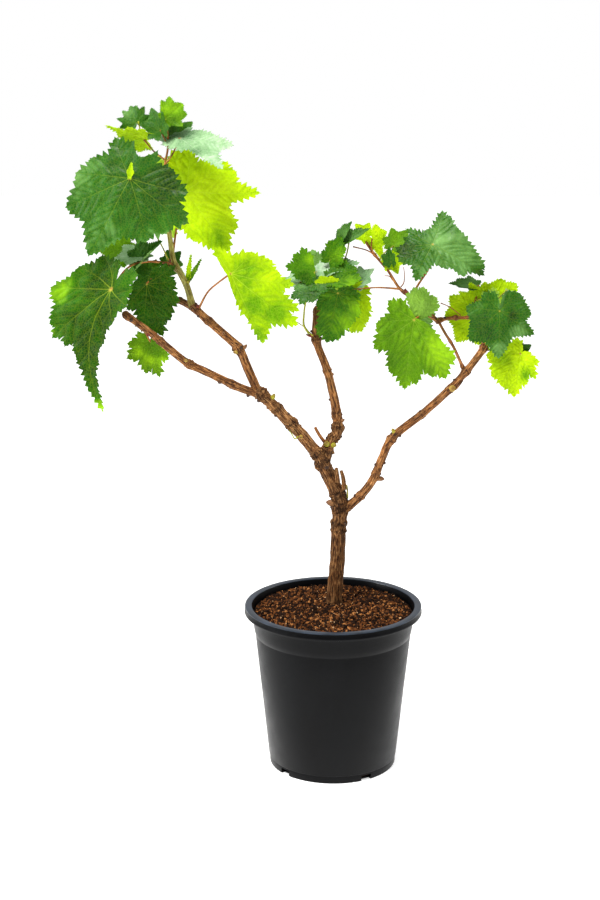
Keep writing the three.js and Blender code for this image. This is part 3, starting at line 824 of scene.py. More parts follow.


# The leaves of each mass: name, tone, stalk junction, tip, facing, then each lobe as
# (bearing, reach) or (bearing, reach, depth of the cleft after it).
# A spot is (along, across, radius, amount): painted shade below zero, painted light and sheen above
# it.
LEAVES = {
    "left_front": [
        leaf("left_front", "dark", (-236, -45, 736), (-283, -62, 650), (-0.1, -0.95, 0.3), (
            (-157, 0.42), (-130, 0.51), (-89, 0.53), (-69, 0.65), (-40, 0.84, 0.74), (-1, 1, 0.66),
            (42, 0.74), (61, 0.74), (81, 0.84, 0.64), (105, 0.68, 0.54), (130, 0.5), (163, 0.44),
        ), droop=12, fold=-7, wave=0.02, basal=6, petiole=0.27, spots=(
            (0.1, 0.1, 0.8, -0.2), (-0.2, 0.45, 0.3, -0.3), (0.62, 0.02, 0.24, 0.24),
            (0.3, -0.62, 0.2, 0.3), (0.0, -0.5, 0.14, 0.2), (0.4, 0.6, 0.16, 0.25),
            (0.2, -0.25, 0.14, 0.12),
        )),
        leaf("front_bud", "lime", (-236, -47, 737), (-233, -50, 754), (0.1, -1, 0.1), (
            (-140, 0.1), (-30, 0.45), (0, 1), (30, 0.45), (140, 0.1),
        ), fold=20),
    ],
    "left_back": [
        leaf("left_back", "lime", (-177, 20, 714), (-123, 10, 646), (0.1, -1, 0.05), (
            (-120, 0.5), (-65, 0.56), (-30, 0.66), (-12, 0.88), (-2, 1, 0.82), (18, 0.84, 0.56),
            (51, 1, 0.7), (73, 0.72), (87, 0.68, 0.54), (102, 0.55), (135, 0.55), (161, 0.56),
        ), droop=10, wave=0.02, spots=((0.75, -0.05, 0.16, -0.35), (0.2, 0.2, 0.3, 0.2))),
    ],
    "left_crown": [
        leaf("crown_glossy", "pale", (-181, 0, 778), (-121, -30, 778), (-0.15, -0.6, 0.75), (
            (-150, 0.34), (-105, 0.28), (-62, 0.34, 0.3), (-28, 1.2, 0.84), (-2, 1.05, 0.74),
            (14, 0.6, 0.42), (40, 0.34), (85, 0.3), (130, 0.44), (163, 0.94),
        ), droop=8, fold=-4, wave=0.03, basal=8, petiole=0.5, spots=(
            (0.8, -0.2, 0.3, 0.12), (-0.5, 0.15, 0.25, 0.2), (0.45, -0.3, 0.12, -0.4),
            (0.12, 0.12, 0.2, -0.4), (-0.2, 0.05, 0.12, -0.4),
        )),
        leaf("crown_lime", "lime", (-224, 12, 775), (-267, -5, 793), (-0.2, -0.7, -0.6), (
            (-100, 0.36), (-60, 0.45), (-25, 0.6, 0.5), (0, 1, 0.62), (16, 0.64), (45, 0.5),
            (75, 0.46), (105, 0.4), (138, 0.36),
        ), droop=5, spots=((0.3, 0.25, 0.3, -0.2),)),
        leaf("crown_tip_a", "dark", (-233, 15, 794), (-241, 20, 814), (-0.1, -0.8, 0.5), (
            (-125, 0.5), (-85, 0.8, 0.6), (-50, 0.9, 0.7), (-20, 0.85), (0, 1, 0.75),
            (30, 0.95, 0.7), (60, 1, 0.7), (90, 0.9), (125, 0.5),
        ), wave=0.14, fold=14, spots=((0.7, 0.4, 0.3, 0.3),)),
        leaf(
            "crown_tip_b", "dark", (-204, 0, 787), (-215, 6, 811), (-0.5, -0.8, 0.3), fold=22,
            wave=0.1,
        ),
        leaf("crown_tip_c", "light", (-197, -4, 800), (-178, -5, 817), (0, -1, 0.2), (
            (-110, 0.35), (-62, 0.8, 0.7), (-30, 0.96), (0, 1, 0.85), (40, 0.98, 0.75), (62, 0.84),
            (110, 0.35),
        ), wave=0.08, spots=((0.5, 0.2, 0.4, 0.3), (0.2, -0.3, 0.3, -0.3))),
        leaf("crown_tip_d", "dark", (-187, 10, 781), (-168, 12, 795), (0.2, -0.9, 0.3), wave=0.08),
        leaf("crown_tip_e", "mid", (-188, 12, 779), (-195, 12, 799), (0, -1, 0.2)),
    ],
    "left_rear": [
        leaf("rear_a", "lime", (-224, 66, 723), (-196, 78, 652), (-0.15, 1, 0.25), droop=10),
        leaf("rear_b", "mid", (-230, 60, 718), (-286, 52, 682), (-0.3, 1, 0.1), droop=8),
        leaf("rear_c", "light", (-162, 72, 716), (-128, 74, 664), (0.3, 1, 0.2), droop=8),
    ],
    "left_hanging": [
        leaf("left_hanging", "rich", (-260, -50, 608), (-278, -75, 468), (-0.5, -0.85, 0.2), (
            (-168, 0.23), (-139, 0.33), (-111, 0.4), (-85, 0.51, 0.46), (-49, 0.5),
            (-38, 0.56, 0.5), (-24, 0.54, 0.49), (-13, 0.57), (0, 1), (9, 0.55), (13, 0.48),
            (34, 0.31), (65, 0.26), (90, 0.21), (124, 0.24), (150, 0.22),
        ), droop=10, bend=0.6, wave=0.015, tooth=0.045, basal=10, petiole=0.08, spots=(
            (0.3, 0.05, 0.75, -0.5), (0.08, -0.42, 0.13, 0.65), (0.42, -0.42, 0.12, 0.55),
            (1.0, 0, 0.1, 0.8), (0.0, 0.2, 0.16, 0.3), (0.2, -0.1, 0.12, 0.2),
        )),
    ],
    "left_inner": [
        leaf("left_inner", "rich", (-224, 5, 605), (-206, 10, 541), (0, -1, 0.15), (
            (-97, 0.34), (-56, 0.58, 0.5), (-24, 0.86), (0, 1, 0.72), (17, 0.76, 0.6),
            (48, 0.64, 0.48), (78, 0.52, 0.46), (108, 0.62), (143, 0.48), (176, 0.43),
        ), petiole=0.2, basal=16, tooth=0.12, spots=((0.3, 0, 0.9, -0.3), (0.5, -0.2, 0.12, 0.3))),
        leaf("young_a", "light", (-252, 20, 643), (-285, 20, 647), (0, -1, 0.4)),
        leaf("young_b", "pale", (-229, 5, 641), (-263, 0, 637), (-0.1, -0.4, 0.9)),
        leaf("young_c", "dark", (-228, -4, 633), (-206, -4, 658), (-0.5, -0.5, 0.5), fold=40),
        leaf("young_d", "lime", (-230, 8, 638), (-231, 8, 662), (0, -1, 0.1), NARROW, fold=40),
        leaf("young_e", "dark", (-225, 0, 623), (-243, 0, 632), (0, -0.6, 0.8)),
        leaf("behind_shoot", "dark", (-199, 24, 626), (-185, 26, 641), (0, -1, 0.2)),
    ],
    "left_under": [
        leaf("left_under", "light", (-221, 0, 536), (-210, -6, 496), (0, -0.9, 0.4), (
            (-146, 0.41), (-102, 0.6), (-70, 0.77, 0.6), (-23, 0.88, 0.76), (0, 1.02, 0.62),
            (32, 0.68), (55, 0.5), (120, 0.25),
        ), tooth=0.16, spots=(
            (0.5, -0.15, 0.16, 0.5), (0.2, -0.4, 0.15, 0.4), (0.6, 0.2, 0.15, 0.4),
            (0.1, 0.1, 0.2, -0.4),
        )),
    ],
    "left_sprig": [
        leaf("sprig_a", "lime", (-177, 20, 603), (-172, 20, 638), (0, -1, 0.1), BLADE, fold=30),
        leaf("sprig_b", "light", (-176, 20, 605), (-160, 18, 633), (0, -1, 0.1), BLADE, fold=30),
        leaf("sprig_c", "lime", (-178, 20, 606), (-184, 18, 622), (0, -1, 0.1), BLADE, fold=20),
    ],
    "left_low": [
        leaf("left_low", "lime", (-123, -8, 620), (-86, -14, 539), (0.2, -1, 0.1), (
            (-5, 0.6), (0, 1.02, 0.84), (29, 1.1, 0.9), (38, 1.02, 0.68), (57, 0.84, 0.66),
            (68, 0.62), (84, 0.56, 0.44), (112, 0.38), (189, 0.4),
        ), basal=12, fold=12, spots=(
            (0.5, 0.2, 0.8, -0.2), (0.5, 0.08, 0.14, -0.4), (0.75, 0.3, 0.16, -0.4),
            (0.9, 0, 0.1, -0.4), (0.1, 0.2, 0.2, -0.3), (0.3, 0.4, 0.14, 0.3),
        )),
    ],
    "middle_upper": [
        leaf("middle_a", "mid", (-24, 20, 618), (-51, 18, 637), (0, -1, 0.2), (
            (-45, 0.66), (-28, 0.98, 0.84), (-5, 0.96, 0.84), (23, 1.04, 0.74), (56, 0.68),
            (90, 0.5), (129, 0.5),
        ), basal=6, petiole=0.03, tooth=0.14, spots=((0.4, -0.3, 0.3, 0.3), (0.2, 0.4, 0.4, -0.4))),
        leaf("middle_b", "pale", (-22, 32, 616), (29, 34, 631), (0, -0.5, 0.85), (
            (-120, 0.2), (-45, 0.4), (-15, 0.72), (0, 1), (15, 0.75), (45, 0.45), (120, 0.2),
        ), wave=0.05, spots=((0.3, 0.2, 0.3, 0.4), (0.7, 0, 0.2, -0.3))),
        leaf("middle_c", "rich", (-6, 30, 630), (7, 30, 657), (-0.2, -0.9, 0.2), (
            (-125, 0.4), (-70, 0.6), (-30, 0.8), (0, 1), (30, 0.75), (70, 0.45), (125, 0.3),
        ), fold=14, tooth=0.14, spots=((0.6, -0.2, 0.3, 0.2),)),
        leaf(
            "middle_d", "dark", (7, 42, 652), (19, 42, 675), (-0.7, -0.7, 0.1), ROLLED, fold=35,
            spots=((0.4, 0, 0.5, 0.25),),
        ),
        leaf(
            "middle_e", "dark", (13, 40, 650), (40, 40, 667), (-0.3, -0.6, 0.7), ROLLED, fold=35,
            spots=((0.4, 0, 0.5, 0.25),),
        ),
        leaf("middle_f", "rich", (-5, 18, 610), (30, 14, 613), (0, -0.8, 0.6), (
            (-110, 0.3), (-50, 0.45), (-20, 0.8), (0, 1), (25, 0.92, 0.75), (50, 0.8), (80, 0.5),
            (130, 0.3),
        ), tooth=0.13, spots=((0.8, -0.2, 0.3, 0.35),)),
        leaf("middle_g", "lime", (1, 14, 606), (-23, 14, 606), (0, -0.9, -0.3), (
            (-120, 0.25), (-60, 0.42), (-25, 0.8), (0, 1), (25, 0.7), (60, 0.3), (120, 0.2),
        )),
        leaf("middle_h", "dark", (-20, 16, 603), (-51, 6, 590), (-0.1, -0.75, 0.65), (
            (-120, 0.3), (-60, 0.4), (-25, 0.75), (0, 1, 0.8), (25, 0.95, 0.7), (50, 0.7),
            (110, 0.4),
        ), tooth=0.13, spots=((0.4, 0.2, 0.3, -0.3), (0.5, -0.2, 0.2, 0.3))),
        leaf("middle_cover", "dark", (-22, 15, 604), (8, 12, 603), (0, -0.8, 0.5), (
            (-120, 0.35), (-50, 0.45), (0, 1), (50, 0.3), (120, 0.25),
        ), fold=12),
        leaf("middle_pale", "pale", (28, 50, 601), (46, 50, 618), (0, -0.5, 0.8)),
        leaf("middle_side", "pale", (-42, 30, 604), (-63, 30, 609), (0, -0.5, 0.8)),
        leaf("middle_rear", "mid", (-12, 94, 611), (-43, 104, 582), (-0.1, 1, 0.2)),
    ],
    "middle_lower": [
        leaf("middle_low", "rich", (4, 22, 592), (-10, 30, 529), (0, -1, 0.1), (
            (-94, 0.44), (-51, 0.44), (-14, 0.88), (1, 1, 0.88), (13, 0.92), (34, 0.66), (65, 0.54),
            (102, 0.42), (138, 0.3),
        ), tooth=0.12, spots=((0.2, 0.42, 0.16, 0.45), (0.5, 0.3, 0.14, 0.3), (0.7, 0, 0.2, 0.12))),
        leaf("middle_lime", "lime", (19, 44, 592), (30, 48, 539), (0.1, -1, 0.1), (
            (-120, 0.3), (-40, 0.5), (-10, 1), (5, 1.02, 0.84), (18, 0.84), (40, 0.6), (85, 0.45),
            (135, 0.3),
        ), tooth=0.14),
        leaf("middle_low_rear", "light", (13, 84, 585), (9, 90, 536), (0.1, 1, 0.1)),
    ],
    "right_tip": [
        leaf("tip_a", "lime", (46, 54, 652), (58, 52, 628), (0, -1, 0.1), (
            (-142, 0.34), (-100, 0.32), (-38, 0.46, 0.42), (0, 1.05, 0.5), (61, 0.9, 0.55),
            (94, 0.68, 0.6), (145, 0.66, 0.4),
        ), spots=((0.1, -0.2, 0.2, -0.2),)),
        leaf("tip_b", "lime", (38, 58, 657), (25, 59, 670), (0, -1, 0.1), FIVE),
        leaf("tip_c", "light", (71, 44, 646), (88, 46, 665), (0, -0.8, 0.5)),
        leaf("tip_d", "dark", (68, 34, 628), (65, 34, 645), (-0.5, -0.8, 0.1), fold=30),
        leaf("tip_e", "lime", (68, 38, 632), (76, 36, 614), (0, -1, 0.1)),
    ],
    "right_top": [
        leaf("right_top", "dark", (115, -12, 656), (177, -30, 632), (-0.1, -0.75, 0.65), (
            (-148, 0.62), (-122, 0.67), (-86, 0.82, 0.38), (-39, 0.53, 0.5), (-24, 0.78, 0.76),
            (-4, 1.02), (5, 0.96, 0.6), (60, 0.5), (84, 0.58), (101, 0.64, 0.3), (136, 0.27, 0.3),
            (171, 0.54),
        ), droop=16, wave=0.03, basal=4, petiole=0.52, spots=(
            (0.1, 0, 0.7, 0.14), (-0.4, -0.3, 0.3, -0.5), (0.1, 0.1, 0.2, 0.3),
            (0.6, 0, 0.25, 0.25), (0.95, -0.1, 0.15, -0.4),
        )),
        leaf("right_top_rear", "mid", (126, 40, 654), (154, 54, 619), (0.2, 0.8, 0.6), droop=10),
    ],
    "right_inner": [
        leaf("right_lobe", "sage", (98, -16, 566), (100, -18, 605), (0, -1, 0.1), (
            (-62, 0.5), (-54, 0.78), (-37, 0.87), (-6, 1), (10, 0.97), (27, 0.85), (34, 0.4),
        ), basal=4, petiole=0.03, tooth=0.12),
        leaf("right_big", "light", (94, -22, 568), (84, -34, 487), (0, -1, 0.12), (
            (-141, 0.35), (-119, 0.45), (-78, 0.53), (-48, 0.69, 0.57), (-19, 0.8), (0, 1, 0.88),
            (10, 0.92, 0.72), (25, 0.85), (36, 0.95), (56, 0.79), (60, 0.5), (80, 0.2),
        ), fold=5, basal=10, petiole=0.03, spots=(
            (0.6, -0.25, 0.25, -0.2), (0.45, 0.5, 0.2, 0.35), (0.1, -0.3, 0.2, -0.15),
            (0.25, 0.35, 0.14, 0.3),
        )),
        leaf("right_rear", "mid", (98, 35, 556), (80, 45, 500), (-0.1, 1, 0.15), (
            (-125, 0.42), (-60, 0.58), (0, 1), (60, 0.58), (125, 0.42),
        )),
    ],
    "right_outer": [
        leaf("right_dark", "dark", (191, -62, 586), (191, -68, 533), (0.1, -0.95, 0.3), (
            (-167, 0.43), (-140, 0.52), (-98, 0.72, 0.66), (-45, 0.9, 0.74), (0, 1.02, 0.64),
            (57, 0.95, 0.62), (84, 0.72, 0.6), (130, 0.58, 0.5), (165, 0.42),
        ), fold=-8, wave=0.03, basal=8, petiole=0.1, spots=(
            (0.4, -0.3, 0.25, -0.35), (0.5, 0.4, 0.2, 0.35), (0.8, 0, 0.15, 0.3),
            (0.1, 0.3, 0.12, -0.4),
        )),
        leaf("right_arc", "lime", (170, 9.5, 575), (147, 8, 536), (0.1, -1, 0), (
            (-87, 0.82), (-50, 0.85), (0, 1), (36, 0.95), (113, 1.25), (153, 1.24), (172, 1.02),
        ), sinus=0.9, petiole=0.45, basal=20, fold=3),
        leaf(
            "right_pale", "dark", (170, 16, 603), (138, 12, 608), (0, -0.45, 0.9),
            even_lobes((20, 0.7), (60, 0.5), (120, 0.3)), spots=((0.4, 0, 0.5, 0.3),),
        ),
        leaf(
            "right_edge", "pale", (203, -15, 598), (229, -20, 584), (0.2, -0.5, 0.8),
            even_lobes((15, 0.6), (50, 0.4), (120, 0.2)),
        ),
        leaf("right_crest", "lime", (178, 6, 577), (186, 6, 607), (0, -1, 0.1), (
            (-80, 0.85), (-42, 0.95, 0.8), (-12, 1, 0.86), (14, 0.98, 0.8), (45, 1.1, 0.85),
            (72, 1.15),
        ), petiole=0.1, basal=6, spots=((0.5, 0.3, 0.2, -0.2),)),
        leaf("outer_rear", "light", (197, 0, 583), (190, 10, 532), (0.2, 1, 0.2)),
    ],
    "right_low": [
        leaf("right_low", "lime", (218, -50, 533), (211, -56, 483), (0, -1, 0.1), (
            (-159, 0.38), (-110, 0.62), (-81, 0.8, 0.7), (-46, 0.83), (-23, 0.84), (1, 1.02, 0.72),
            (22, 0.7, 0.5), (40, 0.68), (78, 0.45), (110, 0.22),
        ), wave=0.02, tooth=0.12, spots=((0.2, -0.4, 0.2, -0.3), (0.45, 0.2, 0.16, -0.5))),
        leaf("right_low_tip", "dark", (217, -46, 535), (230, -46, 543), (0, -1, 0.2), FIVE),
    ],
}


def polar(reach, bearing):
    angle = math.radians(bearing)
    return np.array((reach * math.cos(angle), reach * math.sin(angle)))


def leaf_edges(lobes, sinus, petiole, basal, rise):
    """The edge as (start, control, end, kind) arcs between the notches and the lobe tips."""
    arcs = []
    count = len(lobes)
    for i, (bearing, reach, *cleft) in enumerate(lobes):
        is_last = i == count - 1
        after, after_reach = lobes[(i + 1) % count][:2]
        span = after + 360 - bearing if is_last else after - bearing
        half = math.radians(span / 2)
        line = reach * after_reach * math.sin(2 * half) / ((reach + after_reach) * math.sin(half))
        if is_last:
            depth = petiole
        elif cleft:
            depth = cleft[0]
        else:
            depth = line * (NARROW_SINUS if span < NARROW_SPAN else sinus)
        notch = polar(depth, bearing + span / 2)
        tip, beyond = polar(reach + rise, bearing), polar(after_reach + rise, after)
        if is_last:
            swing = min(basal, span / 2 - 4)
            arcs.append((tip, polar(BASE_FULLNESS * reach, bearing + swing), notch, "base"))
            arcs.append((notch, polar(BASE_FULLNESS * after_reach, after - swing), beyond, "base"))
        else:
            for start, end, kind in ((tip, notch, "falling"), (notch, beyond, "rising")):
                aside = np.array((end[1] - start[1], start[0] - end[0]))
                arcs.append((start, (start + end) / 2 + aside * EDGE_BULGE, end, kind))
    return arcs


def toothed_outline(arcs, tooth, rng):
    """The leaf's edge, with teeth that lean to the tip of each lobe. Returns points."""
    edge = []
    for number, (start, control, end, kind) in enumerate(arcs):
        ends_at_tip = kind == "rising" or (kind == "base" and number == len(arcs) - 1)
        first, last = (start, end) if ends_at_tip else (end, start)
        size = np.linalg.norm(control - first) + np.linalg.norm(last - control)
        count = max(2, int(round(size / tooth)))
        is_base = kind == "base"
        marks = []
        for k in range(count):
            big = 1.0 if (k + number) % 2 else SMALL_TOOTH
            high = tooth * TOOTH_HEIGHT * big * rng.uniform(0.75, 1.25) * min(1.0, size / tooth)
            if is_base and k / count < 0.5:
                high *= BASE_TOOTH
            marks.append((k / count, -0.12 * high))
            if k < count - 1:
                marks += [((k + 0.42) / count, high * 0.5), ((k + 0.82) / count, high)]
            elif not is_base:
                marks += [((k + 0.3) / count, high * 0.16), ((k + 0.66) / count, -high * 0.16)]
        line = []
        for t, lift in marks:
            place = (1 - t) ** 2 * first + 2 * t * (1 - t) * control + t * t * last
            slope = 2 * (1 - t) * (control - first) + 2 * t * (last - control)
            slope /= max(np.linalg.norm(slope), 1e-9)
            outward = np.array((slope[1], -slope[0])) * (1 if ends_at_tip else -1)
            line.append(place + outward * lift)
        edge.extend(line if ends_at_tip else [last] + line[:0:-1])
    return np.array(edge)


def inside(points, polygon):
    """Which points lie inside the polygon."""
    x, y = points[:, :1], points[:, 1:]
    (x0, y0), (x1, y1) = polygon.T, np.roll(polygon, -1, axis=0).T
    rise = np.where(y1 == y0, 1e-12, y1 - y0)
    crosses = ((y0 > y) != (y1 > y)) & (x < (x1 - x0) * (y - y0) / rise + x0)
    return crosses.sum(axis=1) % 2 == 1


def gaps(points, segments):
    """The distance from every point to every segment, in columns."""
    starts = np.array([a for a, _ in segments])
    along = np.array([b for _, b in segments]) - starts
    offset = points[:, None] - starts
    t = (offset * along).sum(-1) / np.maximum((along * along).sum(-1), 1e-12)
    return np.linalg.norm(offset - np.clip(t, 0, 1)[..., None] * along, axis=2)


def distance(points, segments):
    """The distance from each point to the nearest segment."""
    best = np.full(len(points), FAR)
    for low in range(0, len(segments), BLOCK):
        best = np.minimum(best, gaps(points, segments[low:low + BLOCK]).min(axis=1))
    return best


def main_lobes(lobes):
    """The lobes that carry a main vein: the longest, well apart."""
    chosen = []
    for bearing, reach, *_ in sorted(lobes, key=lambda lobe: -lobe[1] - (lobe[0] == 0)):
        is_apart = all(abs(bearing - other) >= VEIN_SPREAD for other, _ in chosen)
        if is_apart and len(chosen) < MOST_VEINS:
            chosen.append((bearing, reach))
    return sorted(chosen)


def leaf_veins(lobes, edge, rng):
    """Main veins to the lobes and side veins off them, as (points, widths, strengths)."""
    veins = []
    mains = main_lobes(lobes)
    angles = [math.radians(b) for b, _ in mains]
    for i, (angle, (_, reach)) in enumerate(zip(angles, mains)):
        is_last = i == len(angles) - 1
        low = (angles[i - 1] + angle) / 2 if i else angle - OUTER_SECTOR
        high = angle + OUTER_SECTOR if is_last else (angles[i + 1] + angle) / 2
        sway = rng.uniform(-0.025, 0.025)
        direction = np.array((math.cos(angle), math.sin(angle)))
        aside = np.array((-direction[1], direction[0]))
        steps = np.linspace(0, 0.96, 9)
        main = [direction * reach * t + aside * sway * math.sin(math.pi * t) for t in steps]
        veins.append((np.array(main), *MAIN_VEIN))
        count = int(reach / SIDE_VEIN_SPACING)
        for k in range(1, count + 1):
            start = direction * reach * (k / (count + 1.2)) * 0.98
            for sign in (-1, 1):
                heading = angle + sign * (SIDE_VEIN_ANGLE + rng.uniform(-0.08, 0.08))
                path = [start]
                for _ in range(40):
                    heading -= sign * SIDE_VEIN_TURN
                    ahead = np.array((math.cos(heading), math.sin(heading)))
                    path.append(path[-1] + SIDE_VEIN_STEP * ahead)
                path = np.array(path)
                turns = np.arctan2(path[1:, 1], path[1:, 0])
                good = inside(path[1:], edge) & (turns > low - 0.02) & (turns < high + 0.02)
                keep = 1 + (len(good) if good.all() else int(np.argmin(good)))
                if keep > 2:
                    veins.append((path[:keep][::2], *SIDE_VEIN))
    return veins


def leaf_mesh(spec, seed):
    """A flat triangulated blade with its veins as edges."""
    rng = random.Random(seed)
    length = (Vector(spec["end"]) - Vector(spec["start"])).length
    is_young = length < YOUNG_LENGTH
    sinus = spec.get("sinus", YOUNG_SINUS if is_young else SINUS)
    rise = YOUNG_TIP_RISE if is_young else TIP_RISE
    petiole, basal = spec.get("petiole", PETIOLE), spec.get("basal", BASAL_SPREAD)
    arcs = leaf_edges(spec["lobes"], sinus, petiole, basal, rise)
    edge = toothed_outline(arcs, spec.get("tooth", max(TOOTH, SMALLEST_TOOTH / length)), rng)
    segments, widths, strengths = [], [], []
    points, links = [tuple(p) for p in edge], []
    for path, (wide, thin), (strong, weak) in leaf_veins(spec["lobes"], edge, rng):
        if len(path) < 2:
            continue
        width = np.linspace(wide, thin, len(path))
        strength = np.linspace(strong, weak, len(path))
        for j in range(len(path) - 1):
            segments.append((path[j], path[j + 1]))
            widths.append((width[j] + width[j + 1]) / 2)
            strengths.append((strength[j] + strength[j + 1]) / 2)
        slope = np.gradient(path, axis=0)
        slope /= np.linalg.norm(slope, axis=1)[:, None]
        normal = np.stack([-slope[:, 1], slope[:, 0]], axis=1)
        for offset in (-1, 0, 1):
            line = path + normal * width[:, None] * offset
            line = line[inside(line, edge)]
            start = len(points)
            points.extend(tuple(p) for p in line)
            links.extend((start + j, start + j + 1) for j in range(len(line) - 1))
    spacing = max(GRID_SPACING, GRID_SMALLEST / length)
    (left, bottom), (right, top) = edge.min(0), edge.max(0)
    rows = int((top - bottom) / (spacing * ROW_HEIGHT)) + 1
    columns = int((right - left) / spacing) + 1
    grid = np.array([
        (
            left + (i + 0.5 * (j % 2) + rng.uniform(-0.2, 0.2)) * spacing,
            bottom + j * spacing * ROW_HEIGHT,
        )
        for j in range(rows) for i in range(columns)
    ])
    grid = grid[inside(grid, edge)]
    border = list(zip(edge, np.roll(edge, -1, axis=0)))
    grid = grid[distance(grid, border) > spacing * EDGE_CLEARANCE]
    grid = grid[distance(grid, segments) > spacing * VEIN_CLEARANCE]
    points.extend(tuple(p) for p in grid)
    loop = list(range(len(edge)))
    result = delaunay_2d_cdt([Vector(p) for p in points], links, [loop], 1, 1e-5)
    flat = np.array([tuple(v) for v in result[0]])
    triangles = np.array([tuple(f) for f in result[2] if len(f) == 3])
    triangles = triangles[inside(flat[triangles].mean(axis=1), edge)]
    a, b, c = (flat[triangles[:, k]] for k in range(3))
    ab, ac = b - a, c - a
    turn = ab[:, 0] * ac[:, 1] - ab[:, 1] * ac[:, 0]
    triangles[turn < 0] = triangles[turn < 0][:, ::-1]
    triangles = triangles[np.abs(turn) > 1e-9]
    used = np.unique(triangles)
    lookup = np.full(len(flat), -1)
    lookup[used] = np.arange(len(used))
    flat, triangles = flat[used], lookup[triangles]
    widths, strengths = np.array(widths), np.array(strengths)
    gap, vein = np.full(len(flat), FAR), np.zeros(len(flat))
    for low in range(0, len(segments), BLOCK):
        part = slice(low, low + BLOCK)
        far = gaps(flat, segments[part])
        reach = strengths[part] * np.clip(1 - far / widths[part], 0, 1)
        gap, vein = np.minimum(gap, far.min(axis=1)), np.maximum(vein, reach.max(axis=1))
    return flat, triangles, vein, gap


def leaf_surface(spec, flat, gap, seed):
    """The blade in space: pillows between the veins, waves at the edge, fold, droop and bend."""
    start, end = np.array(spec["start"], float), np.array(spec["end"], float)
    length = np.linalg.norm(end - start)
    midrib = (end - start) / length
    face = np.array(spec["facing"], float)
    face -= midrib * (face @ midrib)
    face /= np.linalg.norm(face)
    across = np.cross(face, midrib)
    u, v = flat[:, 0], flat[:, 1]
    reach, turn = np.hypot(u, v), np.arctan2(v, u)
    v = v + spec.get("bend", 0) * u * (np.abs(u) - 1)
    pillow = PILLOW * (1 - np.exp(-((gap / PILLOW_WIDTH) ** 2)))
    wave = spec.get("wave", WAVE)
    ripple = wave * reach**2 * (np.sin(3 * turn + seed * 1.7) + 0.5 * np.sin(7 * turn + seed * 2.9))
    crumple = [noise.noise(Vector((x * 9 + seed, y * 9, 0))) for x, y in flat]
    crumple = np.array(crumple) * CRUMPLE
    lift = pillow + ripple + crumple
    fold = math.radians(spec.get("fold", FOLD)) * np.tanh(np.abs(v) / FOLD_WIDTH)
    flat_v = v * np.cos(fold)
    lift = lift + np.abs(v) * np.sin(fold)
    sag = math.radians(spec.get("droop", DROOP)) * u
    along = u * (1 - sag**2 / 6) + lift * np.sin(sag)
    rise = -u * sag / 2 + lift * np.cos(sag)
    place = along[:, None] * midrib + flat_v[:, None] * across + rise[:, None] * face
    return start + length * place


def vertex_normals(points, triangles):
    a, b, c = (points[triangles[:, k]] for k in range(3))
    faces = np.cross(b - a, c - a)
    normals = np.zeros_like(points)
    for k in range(3):
        np.add.at(normals, triangles[:, k], faces)
    return normals / np.maximum(np.linalg.norm(normals, axis=1), 1e-12)[:, None]


def leaf_shade(spec, flat, gap):
    """Painted shade and light, a half where neither: each spot paints them round its centre, and
    the quilting is painted darker beside the veins and lighter between them.
    """
    shade = 0.5 + QUILT_SHADE * (0.5 - np.exp(-((gap / QUILT_SHADE_WIDTH) ** 2)))
    for u, v, radius, amount in spec.get("spots", ()):
        shade += amount * np.exp(-((flat[:, 0] - u) ** 2 + (flat[:, 1] - v) ** 2) / radius**2)
    return np.clip(shade, 0, 1)


def add_leaf(spec, node, seed):
    flat, triangles, vein, gap = leaf_mesh(spec, seed)
    upper = leaf_surface(spec, flat, gap, seed)
    normals = vertex_normals(upper, triangles)
    under = upper - normals * (LEAF_THICKNESS + vein * VEIN_THICKNESS)[:, None]
    count = len(upper)
    sides = np.concatenate([triangles[:, [0, 1]], triangles[:, [1, 2]], triangles[:, [2, 0]]])
    keys = {tuple(s) for s in sides.tolist()}
    border = sorted(s for s in keys if (s[1], s[0]) not in keys)
    faces = triangles.tolist() + (triangles[:, ::-1] + count).tolist()
    faces += [(b, a, a + count, b + count) for a, b in border]
    indices = [0] * len(triangles) + [1] * len(triangles) + [0] * len(border)
    sharp = [e for a, b in border for e in ((a, b), (a + count, b + count))]
    reach = np.clip(np.hypot(*flat.T), 0, 1)
    tint = np.stack([vein, reach, leaf_shade(spec, flat, gap), np.ones(count)], axis=1)
    tone = spec["tone"]
    add_piece(
        f"leaf_{spec['name']}", np.concatenate([upper, under]), faces,
        [material(leaf_material, tone, False), material(leaf_material, tone, True)],
        node,
        [("tint", "FLOAT_COLOR", np.concatenate([tint, tint]))], indices, sharp,
    )


def add_leaves():
    seed = 0
    for mass, leaves in LEAVES.items():
        for spec in leaves:
            seed += 1
            add_leaf(spec, f"foliage_{mass}", seed)


# ---------------------------------------------------------------- stalks, tendrils and buds

